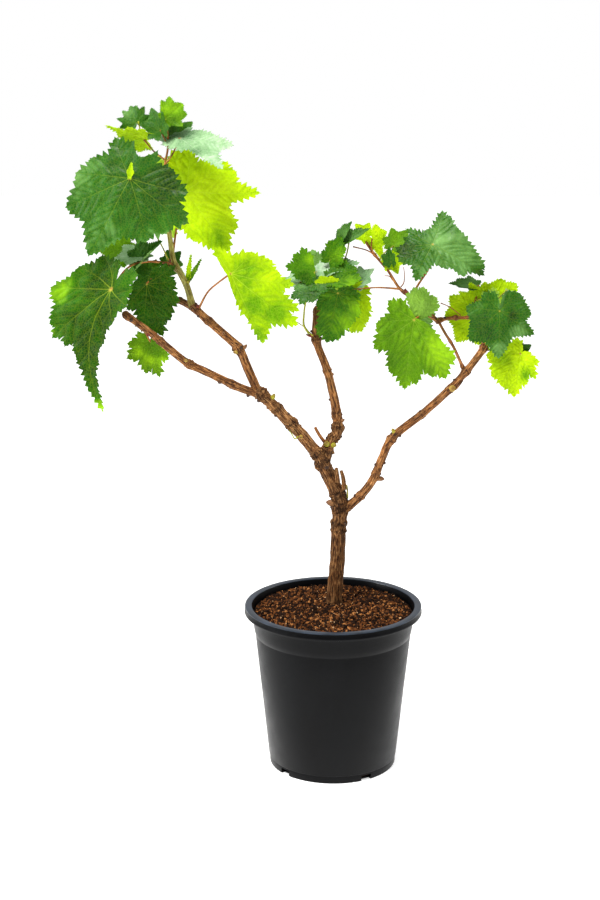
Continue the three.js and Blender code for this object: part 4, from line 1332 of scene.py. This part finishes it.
# The stalks of each mass: bark tone, base and tip radius, path
STALKS = {
    "left_front": [
        ("lime_stalk", 1.5, 1.2, [(-200, 12, 688), (-216, -15, 712), (-236, -44.5, 736)]),
    ],
    "left_back": [
        ("red_stalk", 1.7, 1.3, [(-193, 14, 640), (-187, 20, 678), (-178, 20.5, 713)]),
    ],
    "left_crown": [
        (
            "red_stalk", 2.4, 1.1,
            [(-200, 12, 685), (-203, 10, 716), (-200, 8, 746), (-196, 8, 768), (-197, -3, 803)],
        ),
        ("red_stalk", 1.3, 1.1, [(-200, 8, 746), (-190, 5, 760), (-182, 0, 778)]),
        ("red_stalk", 1.2, 1.0, [(-200, 8, 752), (-214, 9, 763), (-224, 12, 775)]),
        ("lime_stalk", 1.2, 0.9, [(-214, 9, 763), (-226, 13, 777), (-231, 15, 796)]),
        ("red_stalk", 1.2, 0.9, [(-197, 7, 770), (-200, 3, 778), (-204, 0, 787)]),
        ("red_stalk", 1.2, 0.9, [(-197, 7, 764), (-192, 8, 770), (-190, 10, 778)]),
    ],
    "left_rear": [
        ("lime_stalk", 1.5, 1.2, [(-200, 14, 690), (-212, 40, 715), (-224, 65.5, 723)]),
        ("lime_stalk", 1.4, 1.1, [(-222, 62, 723), (-226, 62, 722), (-230, 60, 718)]),
        ("lime_stalk", 1.4, 1.1, [(-222, 62, 723), (-190, 70, 724), (-162, 71.5, 716)]),
    ],
    "left_hanging": [
        (
            "red_stalk", 1.9, 1.4,
            [(-191, 14, 628), (-222, -8, 634), (-242, -28, 630), (-260, -49.5, 608)],
        ),
    ],
    "left_inner": [
        ("red_stalk", 1.6, 1.2, [(-192, 14, 628), (-208, 6, 622), (-224, 5, 606)]),
        ("lime_stalk", 1.3, 0.9, [(-212, 5, 620), (-226, 5, 630), (-230, 8, 638)]),
        ("lime_stalk", 1.2, 0.9, [(-228, 5, 634), (-240, 12, 640), (-252, 20, 643)]),
        ("lime_stalk", 1.3, 0.8, [(-198, 11, 632), (-204, 7, 648), (-212, 4, 664)]),
    ],
    "left_under": [
        ("red_stalk", 1.3, 1.1, [(-229, -38, 563), (-228, -18, 556), (-221, 0, 537)]),
    ],
    "left_sprig": [
        ("lime_stalk", 1.2, 1.0, [(-182, 18, 613), (-179, 20, 607), (-177, 20, 603)]),
    ],
    "left_low": [
        (
            "red_stalk", 1.6, 1.3,
            [(-163, 20, 574), (-152, 14, 594), (-138, 2, 608), (-123, -7.5, 620)],
        ),
    ],
    "middle_upper": [
        (
            "lime_stalk", 1.6, 1.1,
            [
                (-31, 42, 539), (-37, 40, 549), (-37, 38, 563), (-34, 32, 582), (-24, 22, 603),
                (-24, 20.5, 618),
            ],
        ),
        ("lime_stalk", 1.5, 1.1, [(-22, 45, 530), (-26, 43, 536), (-31, 42, 540)]),
        ("lime_stalk", 0.9, 0.6, [(-31, 42, 539), (-37, 41, 547), (-45, 40, 553)]),
        ("lime_stalk", 1.4, 1.0, [(-30, 28, 592), (-14, 20, 602), (-2, 18, 607)]),
        ("lime_stalk", 1.3, 1.0, [(-5, 19, 606), (6, 30, 620), (6, 30, 627)]),
        ("lime_stalk", 1.3, 0.9, [(6, 30, 620), (14, 36, 636), (17, 40, 650)]),
        ("lime_stalk", 1.1, 0.9, [(-24, 22, 603), (-34, 26, 604), (-42, 29, 604)]),
        ("lime_stalk", 1.1, 0.9, [(6, 30, 620), (18, 42, 606), (28, 49, 601)]),
        ("lime_stalk", 1.3, 1.0, [(-5, 20, 607), (-6, 60, 612), (-12, 93.5, 611)]),
        ("red_stalk", 1.4, 1.1, [(79, 30, 596), (52, 34, 597), (27, 40, 594), (10, 42, 592)]),
        ("red_stalk", 1.1, 0.9, [(52, 42, 632), (40, 44, 640), (22, 44, 645)]),
    ],
    "middle_lower": [
        ("red_stalk", 1.6, 1.2, [(-20, 50, 568), (-10, 44, 582), (4, 23, 590)]),
        ("lime_stalk", 1.3, 1.1, [(-10, 44, 582), (6, 46, 590), (19, 44.5, 592)]),
        ("lime_stalk", 1.3, 1.1, [(-8, 46, 584), (4, 66, 588), (13, 83.5, 585)]),
    ],
    "right_tip": [
        ("red_stalk", 1.6, 0.9, [(45, 46, 639), (38, 50, 648), (38, 55.5, 651)]),
        ("red_stalk", 1.2, 0.9, [(45, 46, 639), (44, 48, 646), (45, 48.5, 654)]),
        ("lime_stalk", 1.1, 0.8, [(54, 41, 630), (62, 42, 640), (71, 44, 646)]),
        ("lime_stalk", 1.1, 0.8, [(60, 38, 622), (64, 36, 628), (68, 36, 631)]),
    ],
    "right_top": [
        ("red_stalk", 1.8, 1.3, [(94, 25, 588), (99, 16, 602), (113, 5, 628), (115, -11.5, 656)]),
        ("red_stalk", 1.3, 1.1, [(104, 12, 612), (116, 26, 634), (126, 39.5, 654)]),
    ],
    "right_inner": [
        ("red_stalk", 1.4, 1.2, [(124, 10, 560), (108, -6, 572), (95, -21.5, 569)]),
        ("red_stalk", 1.2, 1.0, [(108, -6, 572), (103, -12, 569), (98, -16, 566)]),
        ("red_stalk", 1.4, 1.2, [(122, 12, 560), (110, 26, 564), (98, 34.5, 556)]),
    ],
    "right_outer": [
        ("red_stalk", 1.5, 1.1, [(161, -6, 570), (168, 4, 588), (172, 15.5, 603)]),
        ("red_stalk", 1.6, 1.2, [(161, -7, 571), (178, -34, 584), (191, -61, 586)]),
        ("lime_stalk", 1.2, 1.0, [(180, -38, 585), (192, -40, 598), (201, -39.5, 607)]),
        ("lime_stalk", 1.3, 1.1, [(160, -6, 571), (165, 3, 574), (170, 9, 575)]),
        ("lime_stalk", 1.2, 1.0, [(168, 4, 588), (182, 0, 588), (197, -0.5, 583)]),
        ("red_stalk", 0.8, 0.6, [(126, -4, 585), (136, -6, 581), (150, -8, 571)]),
    ],
    "right_low": [
        (
            "red_stalk", 1.5, 1.2,
            [(181, -28, 537), (196, -36, 542), (210, -44, 540), (218, -49.5, 533)],
        ),
    ],
}


STALK_SIDES = 12
STALK_STEP = 1.5
STALK_WAIST = 0.72


def stalk_radius(base, tip):
    """Slender in the middle, swelling sharply at the base and the tip."""
    middle = STALK_WAIST * (base + tip) / 2

    def radius(s, length):
        t = s / length
        return middle + (base - middle) * (1 - t) ** 4 + (tip - middle) * t**6

    return radius


def add_stalks():
    batches = {}
    for mass, stalks in STALKS.items():
        for tone, base, tip, path in stalks:
            batch = batches.setdefault((mass, tone), Batch())
            batch.add(*tube(path, stalk_radius(base, tip), STALK_SIDES, STALK_STEP))
    for (mass, tone), batch in batches.items():
        skin = [material(bark_material, tone)]
        batch.build(f"{tone}_{mass}", skin, f"foliage_{mass}", "green_shoot")


# Thin tendrils, dead spurs and bare twigs that stand off a limb: limb, bark tone, base, tip, path
TWIGS = [
    (
        "bough_left", "lime_stalk", 0.9, 0.5,
        [(-43, -4, 421), (-47, -8, 419), (-51, -8, 425), (-54, -6, 429)],
    ),
    ("trunk", "old", 3.0, 2.0, [(5, 4, 362), (4, 2, 371), (3, 2, 380)]),
    ("trunk", "old", 3.0, 2.0, [(13, 6, 352), (12, 5, 364), (9, 4, 376)]),
    ("trunk", "green", 1.3, 1.0, [(17, 8, 341), (17, 3, 350), (16, 0, 359)]),
    ("spur_middle", "twig", 2.2, 1.8, [(-11, 18, 408), (-18, 17, 418), (-23, 18, 427)]),
    ("cane_right", "knob", 1.2, 0.6, [(141, -24, 483), (146, -28, 487), (153, -26, 496)]),
    ("cane_right", "red_stalk", 1.2, 0.7, [(180, -28, 540), (187, -29, 545), (193, -30, 546)]),
    (
        "shoot_right_up", "red_stalk", 0.8, 0.4,
        [(80, 28, 599), (83, 20, 606), (83, 14, 619), (82, 14, 625)],
    ),
    ("shoot_right_up", "red_stalk", 0.8, 0.4, [(70, 34, 606), (66, 32, 611), (60, 30, 612)]),
]


TWIG_SIDES = 12
TWIG_STEP = 0.9
TWIG_SEED = 40


def twig_radius(base, tip):
    def radius(s, length):
        return base + (tip - base) * s / length

    return radius


def add_twigs():
    plain = dict(bark="knob", knots=[])
    for number, (limb, tone, base, tip, path) in enumerate(TWIGS):
        batch = Batch()
        relief = limb_relief(plain, TWIG_SEED + number) if tone in ("knob", "old") else None
        batch.add(*tube(path, twig_radius(base, tip), TWIG_SIDES, TWIG_STEP, relief))
        slot = "green_shoot" if "stalk" in tone else "bark"
        batch.build(f"twig_{limb}_{number}", [material(bark_material, tone)], limb, slot)


# Studs: base and tip colours. Green, yellow and red ones are buds; dark and tan ones are knobs.
BUDS = {
    "green": (srgb(112, 84, 26), srgb(186, 186, 46)),
    "yellow": (srgb(132, 94, 36), srgb(200, 176, 78)),
    "red": (srgb(84, 34, 22), srgb(160, 74, 48)),
    "dark": (srgb(36, 20, 11), srgb(104, 68, 40)),
    "tan": (srgb(96, 58, 30), srgb(160, 114, 70)),
}

# The studs of each limb: place along it, outward aim (x, y, z), kind, length, width
STUDS = {
    "trunk": [
        (1.0, (-0.8, -0.5, -0.4), "dark", 3.4, 4.2),
        (0.88, (-0.8, -0.5, -0.3), "dark", 3.0, 4.0),
        (0.69, (-1, -0.3, 0.35), "tan", 9.0, 6.6),
        (0.67, (-1, -0.4, -0.5), "dark", 4.6, 5.4),
        (0.56, (0.7, -0.6, 0), "dark", 2.2, 4.0),
        (0.93, (0.3, -0.9, 0.2), "dark", 2.4, 6.0),
    ],
    "bough_left": [
        (0.83, (0.6, -0.3, 0.75), "green", 6.4, 3.8),
        (0.37, (-0.2, -1, 0.1), "yellow", 4.6, 3.6),
        (0.61, (0.5, -0.4, 0.8), "dark", 3.0, 3.6),
        (0.45, (0.5, -0.4, 0.8), "tan", 2.8, 3.4),
        (0.69, (-0.5, -0.5, -0.8), "dark", 3.0, 3.8),
        (0.8, (-0.5, -0.5, -0.8), "tan", 3.0, 3.6),
        (0.91, (-0.5, -0.4, -0.8), "dark", 3.6, 4.4),
    ],
    "cane_left_lower": [
        (0.08, (-0.1, -0.3, -1), "dark", 4.0, 4.0),
        (0.28, (0.1, -0.4, -1), "dark", 2.6, 4.6),
        (0.52, (-0.3, -0.8, 0.7), "yellow", 4.2, 3.0),
        (0.81, (0.4, -0.5, -0.9), "red", 3.4, 2.8),
        (0.78, (0.4, -0.7, -0.7), "tan", 3.0, 2.8),
        (0.94, (0.2, -0.9, -0.3), "dark", 1.4, 4.6),
        (0.99, (0.6, -0.3, -0.8), "dark", 4.0, 3.8),
    ],
    "cane_left_upper": [
        (0.41, (-0.8, -0.5, 0.3), "yellow", 5.0, 3.6),
        (0.44, (0.6, -0.5, -0.3), "dark", 2.4, 4.0),
        (0.42, (0.85, -0.3, 0.5), "tan", 6.5, 3.8),
        (0.46, (-0.6, -0.5, -0.6), "dark", 3.0, 3.6),
        (0.62, (0.2, -1, 0.2), "tan", 2.0, 3.4),
        (0.88, (0.3, -0.5, -0.9), "dark", 3.0, 3.4),
        (0.94, (0.6, -0.6, 0.5), "red", 3.4, 3.0),
    ],
    "spur_middle": [
        (0.44, (-0.45, -1, 0.1), "green", 7.0, 5.2),
        (0.47, (0.7, -0.9, -0.2), "green", 6.0, 4.4),
        (0.54, (-1, -0.4, 0), "dark", 3.4, 3.6),
        (0.7, (1, -0.3, 0.1), "dark", 3.4, 4.0),
    ],
    "cane_middle": [
        (0.21, (-1, -0.3, 0), "dark", 3.0, 3.2),
        (0.03, (1, -0.4, 0.2), "tan", 4.4, 3.6),
        (0.41, (1, -0.3, 0.2), "tan", 2.8, 3.0),
        (0.72, (0.9, -0.4, 0.3), "dark", 3.6, 3.8),
        (0.79, (-1, -0.3, 0.2), "dark", 3.6, 3.0),
        (0.75, (-1, -0.2, 0.5), "red", 7.5, 2.6),
        (1.0, (0.5, -0.3, 0.8), "dark", 4.0, 3.0),
    ],
    "cane_right": [
        (0.24, (1, -0.2, 0.2), "tan", 8.0, 5.0),
        (0.3, (-1, -0.4, 0.2), "dark", 3.0, 3.4),
        (0.32, (1, -0.4, -0.2), "dark", 2.8, 3.4),
        (0.12, (-0.7, -0.4, 0.7), "dark", 3.2, 3.6),
        (0.45, (-0.7, -0.4, 0.7), "dark", 2.8, 3.2),
        (0.46, (-0.4, -0.4, 0.9), "green", 5.0, 3.6),
        (0.47, (0.6, -0.5, -0.7), "dark", 2.8, 3.4),
        (0.77, (0.3, -1, 0.1), "yellow", 2.2, 6.0),
        (0.8, (-0.9, -0.4, 0.5), "dark", 3.0, 3.2),
        (1.0, (0.3, -0.7, 0.6), "green", 7.0, 4.6),
        (0.995, (-0.6, -0.4, 0.8), "red", 6.0, 3.4),
        (0.985, (0.9, -0.4, 0.1), "dark", 3.4, 3.4),
    ],
    "shoot_left": [
        (0.26, (0.9, -0.4, 0.2), "green", 3.2, 2.8),
        (0.47, (-0.8, -0.6, 0.2), "red", 3.4, 4.4),
        (0.53, (-1, -0.2, 0.3), "red", 3.6, 2.6),
    ],
    "shoot_right_up": [
        (0.4, (0.4, -0.7, 0.7), "red", 3.4, 2.4),
        (0.43, (0.7, -0.4, 0.5), "red", 2.8, 2.2),
    ],
    "shoot_right": [
        (1.0, (-0.6, -0.5, 0.4), "dark", 3.0, 3.0),
        (0.98, (0.4, -0.7, 0.2), "green", 2.6, 2.8),
    ],
    "shoot_right_out": [
        (0.23, (0.1, -0.8, 0.6), "dark", 2.8, 3.0),
    ],
}


# How much each kind of stud is enlarged, and how deep it sinks as a share of its length
STUD_GROWTH = {"dark": 1.15, "tan": 1.3, "green": 1.4, "yellow": 1.4, "red": 1.4}
STUD_SEED = 5
STUD_SINK = 0.18
STUD_RINGS = 7
STUD_SIDES = 10
# Studs before this share of the limb stand off its side, and those after it may point ahead
LIMB_END = 0.99


def teardrop(place, direction, length, width, rng):
    """A small swollen drop pointing outward, as points, faces, fibre and reach."""
    direction = Vector(direction).normalized()
    side = direction.orthogonal().normalized()
    over = direction.cross(side)
    rings, sides = STUD_RINGS, STUD_SIDES
    shift = rng.uniform(0, 6.28)
    points, reach = [], []
    for i in range(rings):
        t = i / rings
        wide = width / 2 * math.sin(math.pi * (0.32 + 0.68 * t) ** 1.25) ** 0.8
        for k in range(sides):
            angle = 2 * math.pi * k / sides + shift
            across, up = math.cos(angle), math.sin(angle)
            bump = noise.noise(Vector((across * 2, up * 2, t * 3 + shift * 9)))
            bumpy = wide * (1 + 0.2 * bump)
            middle = Vector(place) + direction * length * (t - STUD_SINK)
            points.append(middle + (side * across + over * up) * bumpy)
            reach.append(t)
    points.append(Vector(place) + direction * length * (1 - STUD_SINK))
    reach.append(1.0)
    faces = ring_faces(rings, sides)
    last = (rings - 1) * sides
    faces += [(last + k, last + (k + 1) % sides, len(points) - 1) for k in range(sides)]
    faces.append(tuple(range(sides))[::-1])
    return points, faces, points, reach


def add_studs():
    rng = random.Random(STUD_SEED)
    batches = {}
    for name, studs in STUDS.items():
        limb = LIMBS[name]
        stations, centre, tangent, _, _ = spline(limb["path"], LIMB_STEP)
        for along, aim, kind, length, width in studs:
            i = min(len(stations) - 1, int(round(along * (len(stations) - 1))))
            outward = np.array(aim, float)
            if along < LIMB_END:
                outward -= tangent[i] * (outward @ tangent[i]) * 0.8
            outward /= np.linalg.norm(outward)
            place = centre[i] + outward * limb_radius(limb)(stations[i], stations[-1]) * 0.9
            batch = batches.setdefault((name, kind), Batch())
            grown = STUD_GROWTH[kind]
            lean = outward + tangent[i] * 0.25
            batch.add(*teardrop(place, lean, length * grown, width * grown, rng))
    for (name, kind), batch in batches.items():
        slot = "green_shoot" if name == "shoot_left" else "bark"
        skin = [material(bud_material, f"bud_{kind}", *BUDS[kind])]
        batch.build(f"bud_{kind}_{name}", skin, name, slot)


# ---------------------------------------------------------------- pot and soil


def lathe(profile, segments):
    """A closed solid of revolution from (radius, height) points that start and end on the axis."""
    vertices, faces = [(0, 0, profile[0][1])], []
    for radius, height in profile[1:-1]:
        for k in range(segments):
            angle = 2 * math.pi * k / segments
            vertices.append((radius * math.cos(angle), radius * math.sin(angle), height))
    vertices.append((0, 0, profile[-1][1]))
    top = len(vertices) - 1
    rings = len(profile) - 2
    for k in range(segments):
        n = (k + 1) % segments
        faces.append((0, 1 + n, 1 + k))
        for ring in range(rings - 1):
            a, b = 1 + ring * segments, 1 + (ring + 1) * segments
            faces.append((a + k, a + n, b + n, b + k))
        last = 1 + (rings - 1) * segments
        faces.append((last + k, last + n, top))
    return vertices, faces


POT_PROFILE = [
    (0, 0), (77.5, 0), (78.6, 0.4), (79, 1.4), (79, 9.2), (79.5, 9.8), (80, 10.6), (88.3, 90),
    (96.4, 168.2), (96.1, 169.2), (96.3, 170.2), (97.0, 171.2), (98.3, 177), (99.2, 184),
    (99.8, 191), (100.6, 194.6), (102.2, 196.2), (104.6, 196.9), (108.8, 197), (109.6, 197.3),
    (110, 198), (110, 199.3), (109.5, 200), (109.5, 204.8), (109.2, 205.6), (108.5, 206),
    (102.0, 206), (101.2, 205.7), (100.8, 205), (99.4, 197), (98.4, 190), (97.6, 183), (95.2, 171),
    (94.8, 168), (78.4, 8), (76.6, 3.4), (73, 2), (0, 2),
]
POT_SEGMENTS = 192
# In metres from here: the lip's top, and the drains' distance from the axis and size
LIP_TOP = 0.2051
DRAIN_PLACE = (0, -0.079, 0)
DRAIN_SIZE = (0.014, 0.012, 0.0145)
DRAINS = (-48, 32, 132, 212)
SHARP_ANGLE = 38


def add_pot():
    batch = Batch()
    batch.add(*lathe(POT_PROFILE, POT_SEGMENTS))
    skins = [material(pot_material), material(rim_sheen_material)]
    pot = batch.build("pot_moulding", skins, "pot", "pot_plastic")
    for bearing in DRAINS:
        angle = math.radians(bearing)
        bpy.ops.mesh.primitive_cube_add(size=1)
        cutter = bpy.context.object
        place = Matrix.Rotation(angle, 4, "Z") @ Matrix.Translation(DRAIN_PLACE)
        cutter.matrix_world = place @ Matrix.Diagonal((*DRAIN_SIZE, 1))
        cut = pot.modifiers.new("drain", "BOOLEAN")
        cut.object = cutter
        cut.solver = "EXACT"
        bpy.context.view_layer.objects.active = pot
        bpy.ops.object.modifier_apply(modifier=cut.name)
        bpy.data.objects.remove(cutter)
    for face in pot.data.polygons:
        # The lip's upward faces take the painted bluish sheen.
        face.material_index = int(face.center.z > LIP_TOP and face.normal.z > 0.3)
    pot.data.set_sharp_from_angle(angle=math.radians(SHARP_ANGLE))


def icosahedron():
    """Corners and outward faces of an icosahedron."""
    golden = (1 + 5**0.5) / 2
    corners = []
    for a in (-1, 1):
        for b in (-golden, golden):
            corners += [(0, a, b), (a, b, 0), (b, 0, a)]
    corners = [Vector(c) for c in corners]
    faces = []
    for i in range(12):
        for j in range(i + 1, 12):
            for k in range(j + 1, 12):
                trio = [corners[n] for n in (i, j, k)]
                if all((p - q).length < 2.01 for p, q in zip(trio, trio[1:] + trio[:1])):
                    normal = (trio[1] - trio[0]).cross(trio[2] - trio[0])
                    faces.append((i, j, k) if normal.dot(trio[0]) > 0 else (i, k, j))
    return corners, faces


def crumb(corners, rng, size):
    """A small angular lump, as points."""
    turn = Euler([rng.uniform(0, 6.28) for _ in range(3)]).to_matrix()
    shape = (rng.uniform(0.7, 1.4), rng.uniform(0.6, 1.1), rng.uniform(0.45, 0.9))
    points = []
    for corner in corners:
        bumpy = rng.uniform(0.75, 1.2) * size / 3.8
        points.append(turn @ Vector([c * s * bumpy for c, s in zip(corner, shape)]))
    return points


# The medium, in millimetres: its top dips by SOIL_SINK at the edge, and SOIL_TILT raises the back
SOIL_RADIUS = 98.0
SOIL_TOP = 198.2
SOIL_FOOT = 2.4
SOIL_FOOT_RADIUS = 72
SOIL_SEGMENTS = 160
SOIL_RINGS = 60
SOIL_SINK = 2.4
SOIL_TILT = 0.012
SOIL_SEED = 11
# Crumbs: how many, dark and bright colours, smallest and largest size
CRUMBS = {
    "soil_dark": (3300, srgb(16, 8, 4), srgb(46, 25, 12), (3.0, 6.6)),
    "soil_brown": (2500, srgb(66, 37, 16), srgb(116, 68, 32), (2.6, 6.0)),
    "soil_orange": (900, srgb(124, 74, 36), srgb(186, 126, 72), (2.4, 5.2)),
    "soil_pale": (200, srgb(176, 130, 88), srgb(230, 192, 148), (1.8, 3.6)),
}


def soil_height(x, y):
    lump = noise.noise(Vector((x * 0.035, y * 0.035, 3)))
    small = noise.noise(Vector((x * 0.12, y * 0.12, 9)))
    mound = 2.2 * math.exp(-((x - 2) ** 2 + (y + 2) ** 2) / 300)
    bowl = SOIL_TOP - SOIL_SINK * (math.hypot(x, y) / SOIL_RADIUS) ** 2
    return bowl + SOIL_TILT * y + 1.3 * lump + 0.8 * small + mound


def add_soil():
    segments, rings = SOIL_SEGMENTS, SOIL_RINGS
    vertices, faces = [(0, 0, soil_height(0, 0))], []
    for ring in range(1, rings + 1):
        for k in range(segments):
            angle = 2 * math.pi * k / segments
            r = SOIL_RADIUS * ring / rings
            x, y = r * math.cos(angle), r * math.sin(angle)
            grit = 0.9 * noise.noise(Vector((x * 0.45, y * 0.45, 5)))
            vertices.append((x, y, soil_height(x, y) + grit))
    for k in range(segments):
        n = (k + 1) % segments
        faces.append((0, 1 + k, 1 + n))
        for ring in range(rings - 1):
            a, b = 1 + ring * segments, 1 + (ring + 1) * segments
            faces.append((a + k, b + k, b + n, a + n))
    rim = len(vertices) - segments
    foot = len(vertices)
    scale = SOIL_FOOT_RADIUS / SOIL_RADIUS
    vertices += [(x * scale, y * scale, SOIL_FOOT) for x, y, _ in vertices[rim:]]
    vertices.append((0, 0, SOIL_FOOT))
    for k in range(segments):
        n = (k + 1) % segments
        faces.append((rim + k, foot + k, foot + n, rim + n))
        faces.append((foot + k, len(vertices) - 1, foot + n))
    batch = Batch()
    batch.add(vertices, faces)
    # Near-black: the medium's own dark brown, deepened as painted shade for the gaps between the
    # crumbs.
    ground = material(crumb_material, "soil_body", srgb(18, 10, 6), srgb(44, 26, 15))
    batch.build("soil_body", [ground], "soil", "growing_medium")
    rng = random.Random(SOIL_SEED)
    corners, trio = icosahedron()
    for name, (count, dark, bright, (small, large)) in CRUMBS.items():
        batch = Batch()
        for _ in range(count):
            r = SOIL_RADIUS * math.sqrt(rng.random()) * 0.97
            angle = rng.uniform(0, 2 * math.pi)
            x, y = r * math.cos(angle), r * math.sin(angle)
            size = small + (large - small) * rng.random() ** 2
            place = Vector((x, y, soil_height(x, y) + rng.uniform(-0.2, 1.8)))
            batch.add([place + p for p in crumb(corners, rng, size)], trio)
        batch.build(name, [material(crumb_material, name, dark, bright)], "soil", "growing_medium")


# ---------------------------------------------------------------- the whole plant

add_stage()
add_pot()
add_soil()
add_limbs()
add_studs()
add_twigs()
add_stalks()
add_leaves()
